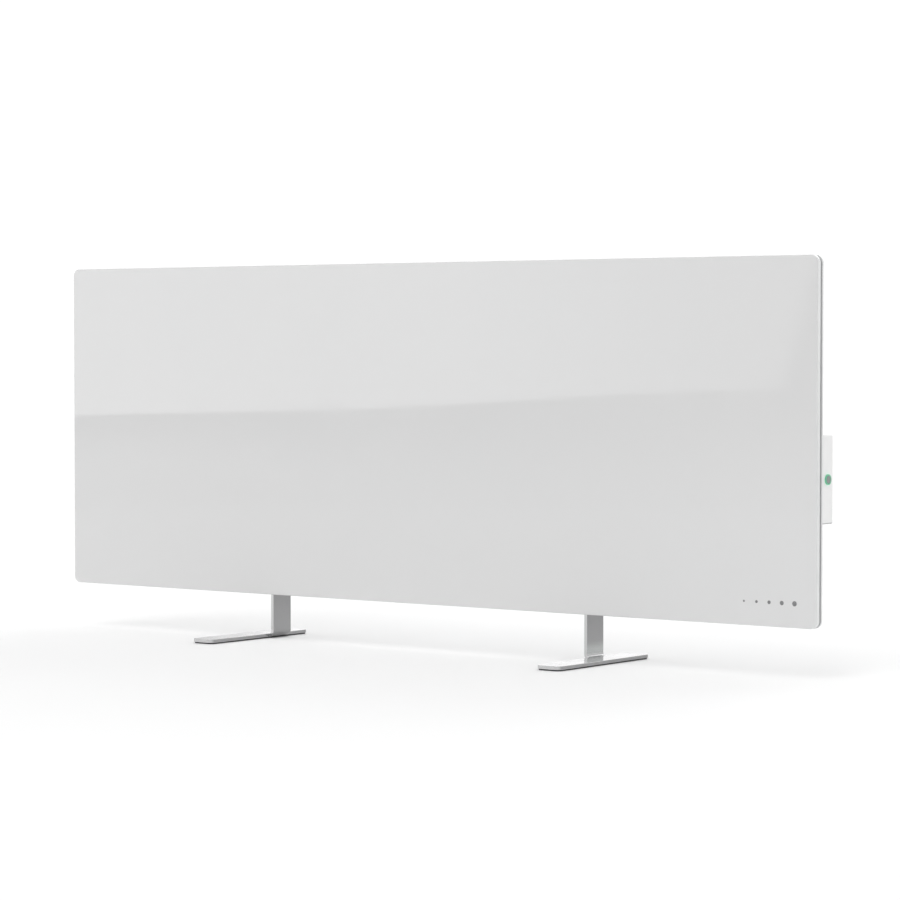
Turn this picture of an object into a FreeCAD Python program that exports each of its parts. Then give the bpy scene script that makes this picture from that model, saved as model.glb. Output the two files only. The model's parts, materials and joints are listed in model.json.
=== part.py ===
import FreeCAD, Part
import math
import os
from FreeCAD import Vector

# Glass panel heater: two panes with heating layers between them, on two bent feet.
# Millimetres. X runs along the panel, Y from its front to its back, Z up.
# The origin is on the floor, midway between the feet and midway along them.

# Panel
PANEL_WIDTH = 1000.0
PANEL_HEIGHT = 364.0
PANEL_CORNER_RADIUS = 8.0
PANEL_FLOOR_GAP = 50.6          # floor to the panel's lower edge
PANEL_LEAD = 5.8                # panel's front face ahead of the middle of the feet
FRONT_GLASS_THICKNESS = 5.5
REAR_GLASS_THICKNESS = 2.5
PANE_GAP = 3.0
SHOW_EDGE_ROUND = 1.2           # polished front edge of the front pane
GLASS_EDGE_EASE = 0.5           # every other long pane edge

# Layers between the panes
SEAL_INSET = 1.6                # seal set back from the pane edges
SEAL_WIDTH = 6.0
ELEMENT_GAP = 2.0               # heating layers clear of the seal
FILM_THICKNESS = 0.3
TRACE_THICKNESS = 0.15
COVER_FILM_THICKNESS = 0.25
FOIL_THICKNESS = 0.3
TRACE_MARGIN = 5.0              # film edge to trace
TRACE_WIDTH = 14.0
TRACE_LINK_WIDTH = 12.0         # upright run at the left end
TRACE_LINK_GAP = 6.0
ROWS_BELOW = 7                  # odd, so that each half ends on the side it needs
ROWS_ABOVE = 9
TERMINAL_INSET = 10.0           # terminal from the trace's right end
TERMINAL_RADIUS = 3.5
TERMINAL_THICKNESS = 0.8
LAYER_HOLE_CLEARANCE = 1.0      # layers clear of terminals and leads

# Leads and sensor that pass through the rear pane
LEAD_RADIUS = 1.2
LEAD_SPACING = 14.0
LEAD_FIT = 0.1
LEAD_STAND_OUT = 1.5            # lead end past the board
GROMMET_RADIUS = 3.6
GROMMET_FIT = 0.1
GROMMET_FLANGE_RADIUS = 4.6
GROMMET_FLANGE_THICKNESS = 0.5
SENSOR_WIDTH = 5.0
SENSOR_HEIGHT = 3.5
SENSOR_THICKNESS = 1.2
SENSOR_FROM_BOARD_EDGE = 30.0
SENSOR_RISE = 22.0              # above the box's middle

# Feet, bent from one sheet each
FOOT_LENGTH = 164.0
FOOT_WIDTH = 30.0               # floor plate without the tongue of its tab
FOOT_SPACING = 422.6            # between the inner faces of the two tabs
FOOT_SHEET = 3.5
FOOT_CORNER_RADIUS = 7.0
FOOT_EDGE_EASE = 0.4
FOOT_BEND_RADIUS = 3.0          # inside of each bend
FOOT_BEND_RELIEF = 1.5          # notch under the flange's bend
FOOT_PAD_THICKNESS = 1.3
FOOT_PAD_INSET = 1.0
TAB_DEPTH = 29.5
TAB_CORNER_RADIUS = 6.0
FLANGE_WIDTH = 36.0
FLANGE_HEIGHT = 56.0
FLANGE_CORNER_RADIUS = 4.0

# Fixing blocks bonded to the rear pane
BLOCK_WIDTH = 40.0
BLOCK_HEIGHT = 60.0
BLOCK_THICKNESS = 8.0
BLOCK_CORNER_RADIUS = 4.0
BLOCK_EDGE_EASE = 0.6
BLOCK_BOND_THICKNESS = 0.5
BLOCK_BOND_INSET = 1.0
BLOCK_BOLT_LINE = 21.0          # bolts from a tab's inner face
BLOCK_BOLT_SPACING = 36.0
BLOCK_HOLE_FLOOR = 1.0          # left under each threaded hole
LOWER_BLOCK_RISE = 40.0         # block's middle above the panel's lower edge
UPPER_BLOCK_DROP = 80.0         # block's middle below the panel's upper edge

# Foot bolts
BOLT_RADIUS = 2.5
BOLT_HEAD_RADIUS = 4.75
BOLT_HEAD_HEIGHT = 2.8
BOLT_HEAD_ROUND = 1.2
BOLT_SOCKET_FLATS = 3.0
BOLT_SOCKET_DEPTH = 1.6
BOLT_TIP_GAP = 0.8
BOLT_HOLE_CLEARANCE = 0.25
THREAD_CLEARANCE = 0.05
WASHER_RADIUS = 5.5
WASHER_THICKNESS = 1.0

# Control box
BOX_WIDTH = 150.0
BOX_HEIGHT = 87.0
BOX_INSET = 2.0                 # box's right face from the panel's right edge
BOX_RISE = 145.0                # box's middle above the panel's lower edge
BOX_WALL = 2.2
BOX_CORNER_RADIUS = 1.6
BOX_EDGE_ROUND = 1.2
BOX_RIM_GAP = 0.4               # cover's rim from the glass
TAPE_THICKNESS = 0.8
TAPE_WIDTH = 10.0
TAPE_INSET = 1.0
BASE_THICKNESS = 2.0
BASE_CLEARANCE = 0.2
BASE_HOLE_CLEARANCE = 1.8
STANDOFF_HEIGHT = 3.2
STANDOFF_RADIUS = 3.0
COMPONENT_ROOM = 12.7           # board to the cover's inner face
BOSS_RADIUS = 4.0
BOSS_INSET = 7.0                # boss axis from the cavity walls
BOSS_GAP = 0.2
PILLAR_RADIUS = 4.5
PILLAR_LENGTH = 4.0
COUNTERBORE_RADIUS = 3.2
COUNTERBORE_DEPTH = 3.0
COVER_SCREW_RADIUS = 1.5
COVER_SCREW_HEAD_RADIUS = 2.8
COVER_SCREW_HEAD_HEIGHT = 2.0
COVER_SCREW_ENGAGEMENT = 6.0
SCREW_SLOT_WIDTH = 0.9
SCREW_SLOT_DEPTH = 0.9
SCREW_SLOT_SHARE = 0.66         # cross slot's length against the head's width
SCREW_HOLE_CLEARANCE = 0.2
PILOT_TIP_GAP = 1.0

# Control board
BOARD_THICKNESS = 1.6
BOARD_CORNER_RADIUS = 1.5
BOARD_EDGE_CLEARANCE = 0.8      # board from the screw bosses
BOARD_RIGHT_INSET = 10.5        # board from the box's right face
WIRING_SPACE = 37.0             # left of the board
BOARD_SCREW_INSET = 4.5
BOARD_SCREW_RADIUS = 1.25
BOARD_SCREW_HEAD_RADIUS = 2.3
BOARD_SCREW_HEAD_HEIGHT = 1.6
BOARD_SCREW_ENGAGEMENT = 3.0
BOARD_SCREW_TIP_GAP = 0.4

# Pieces on the board: sizes along X, Y, Z, and places from its left edge and its middle
CLAMP_SIZE = (10.0, 8.5, 9.0)
CLAMP_FROM_LEFT = 7.0
CLAMP_SPACING = 16.0
CLAMP_WIRE_RADIUS = 1.6
CLAMP_SCREW_RADIUS = 1.9
CLAMP_SCREW_LENGTH = 2.6
RELAY_SIZE = (20.0, 9.0, 16.0)
RELAY_PLACE = (25.0, -14.0)
RELAY_EDGE_ROUND = 0.8
FUSE_RADIUS = 2.6
FUSE_LENGTH = 20.0
FUSE_PLACE = (26.0, 22.0)
FUSE_AXIS_RISE = 3.6
FUSE_FIT = 0.05
FUSE_CLIP_SIZE = (4.0, 4.6, 7.0)
FUSE_CLIP_INSET = 2.4
VARISTOR_RADIUS = 5.5
VARISTOR_THICKNESS = 4.0
VARISTOR_EDGE_ROUND = 1.2
VARISTOR_PLACE = (21.0, 10.0)
CORE_SIZE = (17.0, 4.0, 15.0)
CORE_LEG_WIDTH = 5.0
CORE_YOKE = 3.0
WINDING_BUILD = 2.4
WINDING_FIT = 0.1
TRANSFORMER_PLACE = (37.5, 9.5)
CAPACITOR_RADIUS = 4.0
CAPACITOR_LENGTH = 13.0
CAPACITOR_EDGE_ROUND = 0.6
CAPACITOR_PLACE = (53.0, 9.5)
RADIO_SIZE = (24.0, 0.8, 18.0)
RADIO_PLACE = (50.0, -14.0)
SHIELD_SIZE = (15.0, 2.2, 12.0)
SHIELD_EDGE_ROUND = 0.4
TILT_RADIUS = 2.6
TILT_HEIGHT = 7.5

# Over-temperature switch on the rear pane
CUTOUT_SIZE = (8.0, 4.2, 20.0)
CUTOUT_FROM_LEFT = 22.0         # from the cavity's left wall
CUTOUT_RISE = 3.0               # above the box's middle
CUTOUT_CLEARANCE = 0.5
CUTOUT_LEAD_RADIUS = 0.7
CUTOUT_LEAD_SPACING = 12.0
CUTOUT_LEAD_FROM_LEFT = 13.7    # where the leads enter the board
CUTOUT_LEAD_BEND = 2.0
CUTOUT_LEAD_STAND_OUT = 1.0

# Power button and its glowing ring in the box's right wall
SWITCH_AXIS_RISE = 4.4          # button axis above the board
SWITCH_SIZE = 7.0
SWITCH_LENGTH = 4.5
BUTTON_RADIUS = 3.8
BUTTON_PROUD = 1.5
BUTTON_DISH = 0.25              # hollow of the button's face
BUTTON_EDGE_ROUND = 0.3
BUTTON_TRAVEL = 0.8
BUTTON_CLEARANCE = 0.3
BUTTON_STOP_GAP = 0.1
BUTTON_FLANGE_RADIUS = 4.9
BUTTON_FLANGE_THICKNESS = 1.2
STEM_RADIUS = 2.0
RING_WALL = 1.1
RING_PROUD = 1.3
RING_FIT = 0.05
RING_TAIL = 2.5                 # ring inside the wall
PLUNGER_RADIUS = 1.75
PLUNGER_REACH = 2.0             # plunger past the switch body
PLUNGER_DEPTH = 1.5             # plunger inside the switch body
PLUNGER_CLEARANCE = 0.3
LED_SIZE = (1.8, 1.5, 3.0)
LED_SPACING = 12.4

# Mains inlet under the box
GLAND_BORE_RADIUS = 3.6
GLAND_THREAD_RADIUS = 5.5
GLAND_HOLE_CLEARANCE = 0.2
GLAND_FLANGE_RADIUS = 8.2
GLAND_FLANGE_THICKNESS = 3.0
GLAND_LOWER_RADIUS = 5.8
GLAND_LOWER_LENGTH = 8.0
GLAND_THREAD_PAST_NUT = 1.0
GLAND_NUT_FLATS = 14.0
GLAND_NUT_THICKNESS = 4.0
GLAND_CAP_RADIUS = 7.6
GLAND_CAP_NOSE_RADIUS = 6.0
GLAND_CAP_NOSE_LENGTH = 4.0
GLAND_CAP_FLOOR = 1.6
GLAND_CAP_GAP = 0.3
GLAND_CAP_FIT = 0.1
GLAND_MOUTH_RADIUS = 4.2
GLAND_SEAL_THICKNESS = 1.5
GLAND_SEAL_BORE_RADIUS = 3.9
GLAND_SEAL_FIT = 0.2
GLAND_FROM_LEFT = 24.0          # from the cavity's left wall

PLANE_TOLERANCE = 1e-4
LEFT = -1
RIGHT = 1
BACK = Vector(0, 1, 0)
UP = Vector(0, 0, 1)
INWARD = Vector(-1, 0, 0)

# Places that follow from the sizes
panel_left = -PANEL_WIDTH / 2
panel_right = PANEL_WIDTH / 2
panel_bottom = PANEL_FLOOR_GAP
panel_top = panel_bottom + PANEL_HEIGHT
front_y = -PANEL_LEAD
inner_front_y = front_y + FRONT_GLASS_THICKNESS
inner_rear_y = inner_front_y + PANE_GAP
back_y = inner_rear_y + REAR_GLASS_THICKNESS

element_inset = SEAL_INSET + SEAL_WIDTH + ELEMENT_GAP
film_rear_y = inner_front_y + FILM_THICKNESS
trace_rear_y = film_rear_y + TRACE_THICKNESS
cover_film_rear_y = trace_rear_y + COVER_FILM_THICKNESS
foil_front_y = inner_rear_y - FOIL_THICKNESS

box_depth = TAPE_THICKNESS + BASE_THICKNESS + STANDOFF_HEIGHT + BOARD_THICKNESS + COMPONENT_ROOM + BOX_WALL
box_right = panel_right - BOX_INSET
box_left = box_right - BOX_WIDTH
box_middle_z = panel_bottom + BOX_RISE
box_bottom = box_middle_z - BOX_HEIGHT / 2
box_top = box_middle_z + BOX_HEIGHT / 2
box_rear_y = back_y + box_depth
cavity_left = box_left + BOX_WALL
cavity_right = box_right - BOX_WALL
cavity_bottom = box_bottom + BOX_WALL
cavity_top = box_top - BOX_WALL
cavity_rear_y = box_rear_y - BOX_WALL
base_front_y = back_y + TAPE_THICKNESS
base_rear_y = base_front_y + BASE_THICKNESS
pillar_end_y = cavity_rear_y - PILLAR_LENGTH
boss_end_y = pillar_end_y - BOSS_GAP
counterbore_y = box_rear_y - COUNTERBORE_DEPTH

board_front_y = base_rear_y + STANDOFF_HEIGHT
board_rear_y = board_front_y + BOARD_THICKNESS
board_left = cavity_left + WIRING_SPACE
board_right = box_right - BOARD_RIGHT_INSET
board_half_height = (cavity_top - cavity_bottom) / 2 - BOSS_INSET - BOSS_RADIUS - BOARD_EDGE_CLEARANCE
board_bottom = box_middle_z - board_half_height
board_top = box_middle_z + board_half_height

trace_bottom = panel_bottom + element_inset + TRACE_MARGIN
trace_top = panel_top - element_inset - TRACE_MARGIN
trace_right = panel_right - element_inset - TRACE_MARGIN
trace_left = panel_left + element_inset + TRACE_MARGIN
rows_left = trace_left + TRACE_LINK_WIDTH + TRACE_LINK_GAP
split_z = board_top - BOARD_SCREW_INSET - LEAD_SPACING / 2
lead_x = trace_right - TERMINAL_INSET
lead_points = [(lead_x, split_z + side * LEAD_SPACING / 2) for side in (LEFT, RIGHT)]
sensor_point = (board_right - SENSOR_FROM_BOARD_EDGE, box_middle_z + SENSOR_RISE)
pane_passages = lead_points + [sensor_point]

tab_inner_x = FOOT_SPACING / 2
plate_bottom_z = FOOT_PAD_THICKNESS
plate_top_z = plate_bottom_z + FOOT_SHEET
bend_outer_radius = FOOT_BEND_RADIUS + FOOT_SHEET
plate_inner_x = tab_inner_x + bend_outer_radius
plate_outer_x = plate_inner_x + FOOT_WIDTH
block_front_y = back_y + BLOCK_BOND_THICKNESS
block_rear_y = block_front_y + BLOCK_THICKNESS
tab_front_y = block_rear_y
tab_rear_y = tab_front_y + TAB_DEPTH
flange_rear_y = tab_front_y + FOOT_SHEET
bolt_x = tab_inner_x + BLOCK_BOLT_LINE
lower_block_z = panel_bottom + LOWER_BLOCK_RISE
upper_block_z = panel_top - UPPER_BLOCK_DROP
flange_bottom_z = lower_block_z - FLANGE_HEIGHT / 2
flange_top_z = lower_block_z + FLANGE_HEIGHT / 2

button_y = board_rear_y + SWITCH_AXIS_RISE
ring_end_x = cavity_right - RING_TAIL
button_stop_x = ring_end_x - BUTTON_STOP_GAP
switch_face_x = board_right
plunger_tip_x = switch_face_x + PLUNGER_REACH

gland_x = cavity_left + GLAND_FROM_LEFT
gland_y = back_y + box_depth / 2


def block(x_low, x_high, y_low, y_high, z_low, z_high):
    """Rectangular block between two corners."""
    return Part.makeBox(x_high - x_low, y_high - y_low, z_high - z_low, Vector(x_low, y_low, z_low))


def side_block(side, x_near, x_far, y_low, y_high, z_low, z_high):
    """Block given by its distances from the middle, on the left or right side."""
    x_low, x_high = sorted((side * x_near, side * x_far))
    return block(x_low, x_high, y_low, y_high, z_low, z_high)


def rounded_face(low, high, radius, place):
    """Flat face with rounded corners. place turns its two coordinates into a point."""
    centres = [
        (high[0] - radius, low[1] + radius),
        (high[0] - radius, high[1] - radius),
        (low[0] + radius, high[1] - radius),
        (low[0] + radius, low[1] + radius),
    ]

    def on_corner(index, quarter):
        u, v = centres[index % 4]
        angle = (index + quarter - 1) * math.pi / 2
        return place(u + radius * math.cos(angle), v + radius * math.sin(angle))

    edges = []
    for index in range(4):
        arc = Part.Arc(on_corner(index, 0), on_corner(index, 0.5), on_corner(index, 1))
        edges.append(arc.toShape())
        edges.append(Part.makeLine(on_corner(index, 1), on_corner(index + 1, 0)))
    return Part.Face(Part.Wire(edges))


def upright_sheet(x_low, x_high, z_low, z_high, radius, y_low, y_high):
    """Sheet that stands across the Y axis, with rounded corners."""
    face = rounded_face((x_low, z_low), (x_high, z_high), radius, lambda x, z: Vector(x, y_low, z))
    return face.extrude(Vector(0, y_high - y_low, 0))


def level_sheet(x_low, x_high, y_low, y_high, radius, z_low, z_high):
    """Sheet that lies flat, with rounded corners."""
    face = rounded_face((x_low, y_low), (x_high, y_high), radius, lambda x, y: Vector(x, y, z_low))
    return face.extrude(Vector(0, 0, z_high - z_low))


def panel_sheet(inset, y_low, y_high):
    """Sheet with the panel's outline, smaller by inset all round."""
    radius = max(PANEL_CORNER_RADIUS - inset, GLASS_EDGE_EASE)
    return upright_sheet(
        panel_left + inset, panel_right - inset, panel_bottom + inset, panel_top - inset,
        radius, y_low, y_high,
    )


def bar(radius, start, direction, length):
    """Round bar."""
    return Part.makeCylinder(radius, length, start, direction)


def across(radius, point, y_low, y_high):
    """Round bar along Y at a point of the panel's plane."""
    return bar(radius, Vector(point[0], y_low, point[1]), BACK, y_high - y_low)


def hexagon_bar(flats, centre, direction, length):
    """Hexagonal bar with one pair of flats across the Y axis or, along Y, across the Z axis."""
    radius = flats / math.sqrt(3)
    points = []
    for corner in range(7):
        angle = corner * math.pi / 3
        wide = radius * math.cos(angle)
        narrow = radius * math.sin(angle)
        offset = Vector(wide, narrow, 0) if abs(direction.z) > abs(direction.y) else Vector(wide, 0, narrow)
        points.append(centre + offset)
    return Part.Face(Part.makePolygon(points)).extrude(direction * length)


def edges_at(shape, axis, value):
    """Edges that lie whole in the plane where the named axis has this value."""
    found = []
    for edge in shape.Edges:
        low = getattr(edge.BoundBox, axis + "Min")
        high = getattr(edge.BoundBox, axis + "Max")
        if max(abs(low - value), abs(high - value)) < PLANE_TOLERANCE:
            found.append(edge)
    return found


def join(shapes):
    """One solid out of shapes that touch or overlap."""
    return shapes[0].multiFuse(shapes[1:]).removeSplitter()


def pane(y_low, y_high, front_round, rear_round):
    """Glass pane with eased edges."""
    glass = panel_sheet(0, y_low, y_high)
    glass = glass.makeFillet(front_round, edges_at(glass, "Y", y_low))
    return glass.makeFillet(rear_round, edges_at(glass, "Y", y_high))


def front_glass():
    return pane(front_y, inner_front_y, SHOW_EDGE_ROUND, GLASS_EDGE_EASE)


def rear_glass():
    glass = pane(inner_rear_y, back_y, GLASS_EDGE_EASE, GLASS_EDGE_EASE)
    for point in pane_passages:
        glass = glass.cut(across(GROMMET_RADIUS + GROMMET_FIT, point, inner_rear_y, back_y))
    return glass


def perimeter_seal():
    outside = panel_sheet(SEAL_INSET, inner_front_y, inner_rear_y)
    return outside.cut(panel_sheet(SEAL_INSET + SEAL_WIDTH, inner_front_y, inner_rear_y))


def heating_film():
    return panel_sheet(element_inset, inner_front_y, film_rear_y)


def row_heights():
    """Middle heights of the trace's rows, from the lowest to the highest."""
    pitch_below = (split_z - trace_bottom) / ROWS_BELOW
    pitch_above = (trace_top - split_z) / ROWS_ABOVE
    below = [trace_bottom + pitch_below * (row + 0.5) for row in range(ROWS_BELOW)]
    above = [split_z + pitch_above * (row + 0.5) for row in range(ROWS_ABOVE)]
    return below + above


def heating_trace():
    """Resistance foil in one run: down the lower rows, up the left end and down the upper rows."""
    heights = row_heights()
    last = len(heights) - 1
    half = TRACE_WIDTH / 2

    def foil(x_low, x_high, z_low, z_high):
        return block(x_low, x_high, film_rear_y, trace_rear_y, z_low, z_high)

    pieces = [foil(trace_left, trace_left + TRACE_LINK_WIDTH, heights[0] - half, heights[last] + half)]
    for row, height in enumerate(heights):
        row_start = trace_left if row in (0, last) else rows_left
        pieces.append(foil(row_start, trace_right, height - half, height + half))
    for row in range(last):
        if row == ROWS_BELOW - 1:
            continue
        turns_left = (ROWS_BELOW - row) % 2 == 0
        turn_start = rows_left if turns_left else trace_right - TRACE_WIDTH
        pieces.append(foil(turn_start, turn_start + TRACE_WIDTH, heights[row], heights[row + 1]))
    return join(pieces)


def trace_terminals():
    y_high = trace_rear_y + TERMINAL_THICKNESS
    return Part.makeCompound([across(TERMINAL_RADIUS, point, trace_rear_y, y_high) for point in lead_points])


def layer_with_holes(y_low, y_high, holes):
    """One heating layer with round holes, each given by its point and radius."""
    sheet = panel_sheet(element_inset, y_low, y_high)
    for point, radius in holes:
        sheet = sheet.cut(across(radius, point, y_low, y_high))
    return sheet


def terminal_holes():
    return [(point, TERMINAL_RADIUS + LAYER_HOLE_CLEARANCE) for point in lead_points]


def sensor_hole():
    return [(sensor_point, max(SENSOR_WIDTH, SENSOR_HEIGHT) / 2 + LAYER_HOLE_CLEARANCE)]


def cover_film():
    return layer_with_holes(trace_rear_y, cover_film_rear_y, terminal_holes())


def insulation_sheet():
    return layer_with_holes(cover_film_rear_y, foil_front_y, terminal_holes() + sensor_hole())


def reflector_foil():
    return layer_with_holes(foil_front_y, inner_rear_y, terminal_holes() + sensor_hole())


def heater_leads():
    y_low = trace_rear_y + TERMINAL_THICKNESS
    y_high = board_rear_y + LEAD_STAND_OUT
    return Part.makeCompound([across(LEAD_RADIUS, point, y_low, y_high) for point in lead_points])


def lead_grommets():
    bushes = []
    for point in pane_passages:
        flange_y = back_y + GROMMET_FLANGE_THICKNESS
        bush = across(GROMMET_RADIUS, point, inner_rear_y, back_y)
        bush = join([bush, across(GROMMET_FLANGE_RADIUS, point, back_y, flange_y)])
        bushes.append(bush.cut(across(LEAD_RADIUS + LEAD_FIT, point, inner_rear_y, flange_y)))
    return Part.makeCompound(bushes)


def surface_sensor():
    """Flat sensor body on the heating layers, with its sleeved lead."""
    x, z = sensor_point
    body_rear_y = cover_film_rear_y + SENSOR_THICKNESS
    body = block(
        x - SENSOR_WIDTH / 2, x + SENSOR_WIDTH / 2, cover_film_rear_y, body_rear_y,
        z - SENSOR_HEIGHT / 2, z + SENSOR_HEIGHT / 2,
    )
    return join([body, across(LEAD_RADIUS, sensor_point, body_rear_y, board_rear_y + LEAD_STAND_OUT)])


def bend_corner(radius, centre, first, second):
    """Quarter arc about a centre, from one direction to another."""
    middle = (first + second).normalize()
    return Part.Arc(centre + first * radius, centre + middle * radius, centre + second * radius).toShape()


def bent_strip(corner, along, across_way, first_length, second_length, direction):
    """Sheet bent once: two legs from an outside corner, swept along a direction."""
    centre = corner + along * bend_outer_radius + across_way * bend_outer_radius
    first_end = corner + along * first_length
    second_end = corner + across_way * second_length
    first_thick = first_end + across_way * FOOT_SHEET
    second_thick = second_end + along * FOOT_SHEET
    first_outer = corner + along * bend_outer_radius
    second_outer = corner + across_way * bend_outer_radius
    edges = [
        Part.makeLine(first_outer, first_end),
        Part.makeLine(first_end, first_thick),
        Part.makeLine(first_thick, first_outer + across_way * FOOT_SHEET),
        bend_corner(FOOT_BEND_RADIUS, centre, across_way * -1, along * -1),
        Part.makeLine(second_outer + along * FOOT_SHEET, second_thick),
        Part.makeLine(second_thick, second_end),
        Part.makeLine(second_end, second_outer),
        bend_corner(bend_outer_radius, centre, along * -1, across_way * -1),
    ]
    return Part.Face(Part.Wire(edges)).extrude(direction)


def foot(side):
    """Foot bent from one sheet: floor plate, upright tab and screw flange."""
    outward = Vector(side, 0, 0)
    x_low, x_high = sorted((side * plate_inner_x, side * plate_outer_x))
    plate = level_sheet(
        x_low, x_high, -FOOT_LENGTH / 2, FOOT_LENGTH / 2, FOOT_CORNER_RADIUS, plate_bottom_z, plate_top_z
    )
    plate = plate.makeFillet(FOOT_EDGE_EASE, edges_at(plate, "Z", plate_top_z))
    tab_foot = Vector(side * tab_inner_x, tab_front_y, plate_bottom_z)
    tab_height = flange_top_z - plate_bottom_z
    tongue_length = bend_outer_radius + FOOT_SHEET
    tab = bent_strip(tab_foot, outward, UP, tongue_length, tab_height, Vector(0, TAB_DEPTH, 0))
    tab = tab.cut(side_block(
        side, tab_inner_x, tab_inner_x + FOOT_SHEET, tab_front_y, tab_front_y + bend_outer_radius,
        flange_bottom_z - FOOT_BEND_RELIEF, flange_top_z,
    ))
    flange_corner = Vector(side * tab_inner_x, tab_front_y, flange_bottom_z)
    flange = bent_strip(flange_corner, outward, BACK, FLANGE_WIDTH, TAB_DEPTH, Vector(0, 0, FLANGE_HEIGHT))
    bracket = join([plate, tab, flange])
    tab_corner = Vector(side * (tab_inner_x + FOOT_SHEET / 2), tab_rear_y, flange_top_z)
    bracket = bracket.makeFillet(TAB_CORNER_RADIUS, edges_about(bracket, [tab_corner]))
    flange_edge = Vector(side * (tab_inner_x + FLANGE_WIDTH), tab_front_y + FOOT_SHEET / 2, 0)
    flange_corners = [flange_edge + UP * height for height in (flange_bottom_z, flange_top_z)]
    bracket = bracket.makeFillet(FLANGE_CORNER_RADIUS, edges_about(bracket, flange_corners))
    hole_radius = BOLT_RADIUS + BOLT_HOLE_CLEARANCE
    for height in bolt_heights(lower_block_z):
        bracket = bracket.cut(across(hole_radius, (side * bolt_x, height), tab_front_y, flange_rear_y))
    return bracket


def edges_about(shape, middles):
    """Edges whose middles are the given points."""
    found = []
    for edge in shape.Edges:
        if any(edge.CenterOfMass.distanceToPoint(middle) < PLANE_TOLERANCE for middle in middles):
            found.append(edge)
    return found


def foot_pad(side):
    x_low, x_high = sorted((side * plate_inner_x, side * plate_outer_x))
    half_length = FOOT_LENGTH / 2 - FOOT_PAD_INSET
    return level_sheet(
        x_low + FOOT_PAD_INSET, x_high - FOOT_PAD_INSET, -half_length, half_length,
        FOOT_CORNER_RADIUS - FOOT_PAD_INSET, 0, FOOT_PAD_THICKNESS,
    )


def bolt_heights(middle_z):
    """Heights of the two bolts of a fixing block."""
    return [middle_z - BLOCK_BOLT_SPACING / 2, middle_z + BLOCK_BOLT_SPACING / 2]


def block_sheet(side, middle_z, inset, y_low, y_high):
    """Sheet with a fixing block's outline, smaller by inset all round."""
    middle_x = side * bolt_x
    half_width = BLOCK_WIDTH / 2 - inset
    half_height = BLOCK_HEIGHT / 2 - inset
    return upright_sheet(
        middle_x - half_width, middle_x + half_width, middle_z - half_height, middle_z + half_height,
        BLOCK_CORNER_RADIUS - inset, y_low, y_high,
    )


def fixing_block(side, middle_z):
    """Metal block with two blind threaded holes, bonded to the rear pane."""
    body = block_sheet(side, middle_z, 0, block_front_y, block_rear_y)
    body = body.makeChamfer(BLOCK_EDGE_EASE, edges_at(body, "Y", block_rear_y))
    hole_radius = BOLT_RADIUS + THREAD_CLEARANCE
    hole_floor_y = block_front_y + BLOCK_HOLE_FLOOR
    for height in bolt_heights(middle_z):
        body = body.cut(across(hole_radius, (side * bolt_x, height), hole_floor_y, block_rear_y))
    return body


def block_bonds():
    bonds = []
    for side in (LEFT, RIGHT):
        for height in (lower_block_z, upper_block_z):
            bonds.append(block_sheet(side, height, BLOCK_BOND_INSET, back_y, block_front_y))
    return Part.makeCompound(bonds)


def foot_bolt(point):
    """Round-headed bolt with a hexagon socket, through washer and flange into a fixing block."""
    head_y = flange_rear_y + WASHER_THICKNESS
    head_rear_y = head_y + BOLT_HEAD_HEIGHT
    head = across(BOLT_HEAD_RADIUS, point, head_y, head_rear_y)
    head = head.makeFillet(BOLT_HEAD_ROUND, edges_at(head, "Y", head_rear_y))
    shank = across(BOLT_RADIUS, point, block_front_y + BLOCK_HOLE_FLOOR + BOLT_TIP_GAP, head_y)
    socket_centre = Vector(point[0], head_rear_y - BOLT_SOCKET_DEPTH, point[1])
    return join([head, shank]).cut(hexagon_bar(BOLT_SOCKET_FLATS, socket_centre, BACK, BOLT_SOCKET_DEPTH))


def foot_bolt_points():
    return [(side * bolt_x, height) for side in (LEFT, RIGHT) for height in bolt_heights(lower_block_z)]


def foot_bolts():
    return Part.makeCompound([foot_bolt(point) for point in foot_bolt_points()])


def foot_washers():
    washers = []
    rear_y = flange_rear_y + WASHER_THICKNESS
    for point in foot_bolt_points():
        ring = across(WASHER_RADIUS, point, flange_rear_y, rear_y)
        washers.append(ring.cut(across(BOLT_RADIUS + BOLT_HOLE_CLEARANCE, point, flange_rear_y, rear_y)))
    return Part.makeCompound(washers)


def cavity_sheet(inset, y_low, y_high):
    """Sheet with the outline of the box's cavity, smaller by inset all round."""
    radius = max(BOX_CORNER_RADIUS - BOX_WALL, BASE_CLEARANCE)
    return upright_sheet(
        cavity_left + inset, cavity_right - inset, cavity_bottom + inset, cavity_top - inset,
        radius, y_low, y_high,
    )


def cover_screw_points():
    points = []
    for x in (cavity_left + BOSS_INSET, cavity_right - BOSS_INSET):
        for z in (cavity_bottom + BOSS_INSET, cavity_top - BOSS_INSET):
            points.append((x, z))
    return points


def board_screw_points():
    points = []
    for x in (board_left + BOARD_SCREW_INSET, board_right - BOARD_SCREW_INSET):
        for z in (board_bottom + BOARD_SCREW_INSET, board_top - BOARD_SCREW_INSET):
            points.append((x, z))
    return points


def cutout_space(clearance, y_low, y_high):
    """Room of the over-temperature switch, larger by clearance all round."""
    x = cavity_left + CUTOUT_FROM_LEFT
    z = box_middle_z + CUTOUT_RISE
    half_x = CUTOUT_SIZE[0] / 2 + clearance
    half_z = CUTOUT_SIZE[2] / 2 + clearance
    return block(x - half_x, x + half_x, y_low, y_high, z - half_z, z + half_z)


def box_tape():
    sheet = cavity_sheet(BASE_CLEARANCE + TAPE_INSET, back_y, base_front_y)
    return sheet.cut(cavity_sheet(BASE_CLEARANCE + TAPE_INSET + TAPE_WIDTH, back_y, base_front_y))


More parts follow.
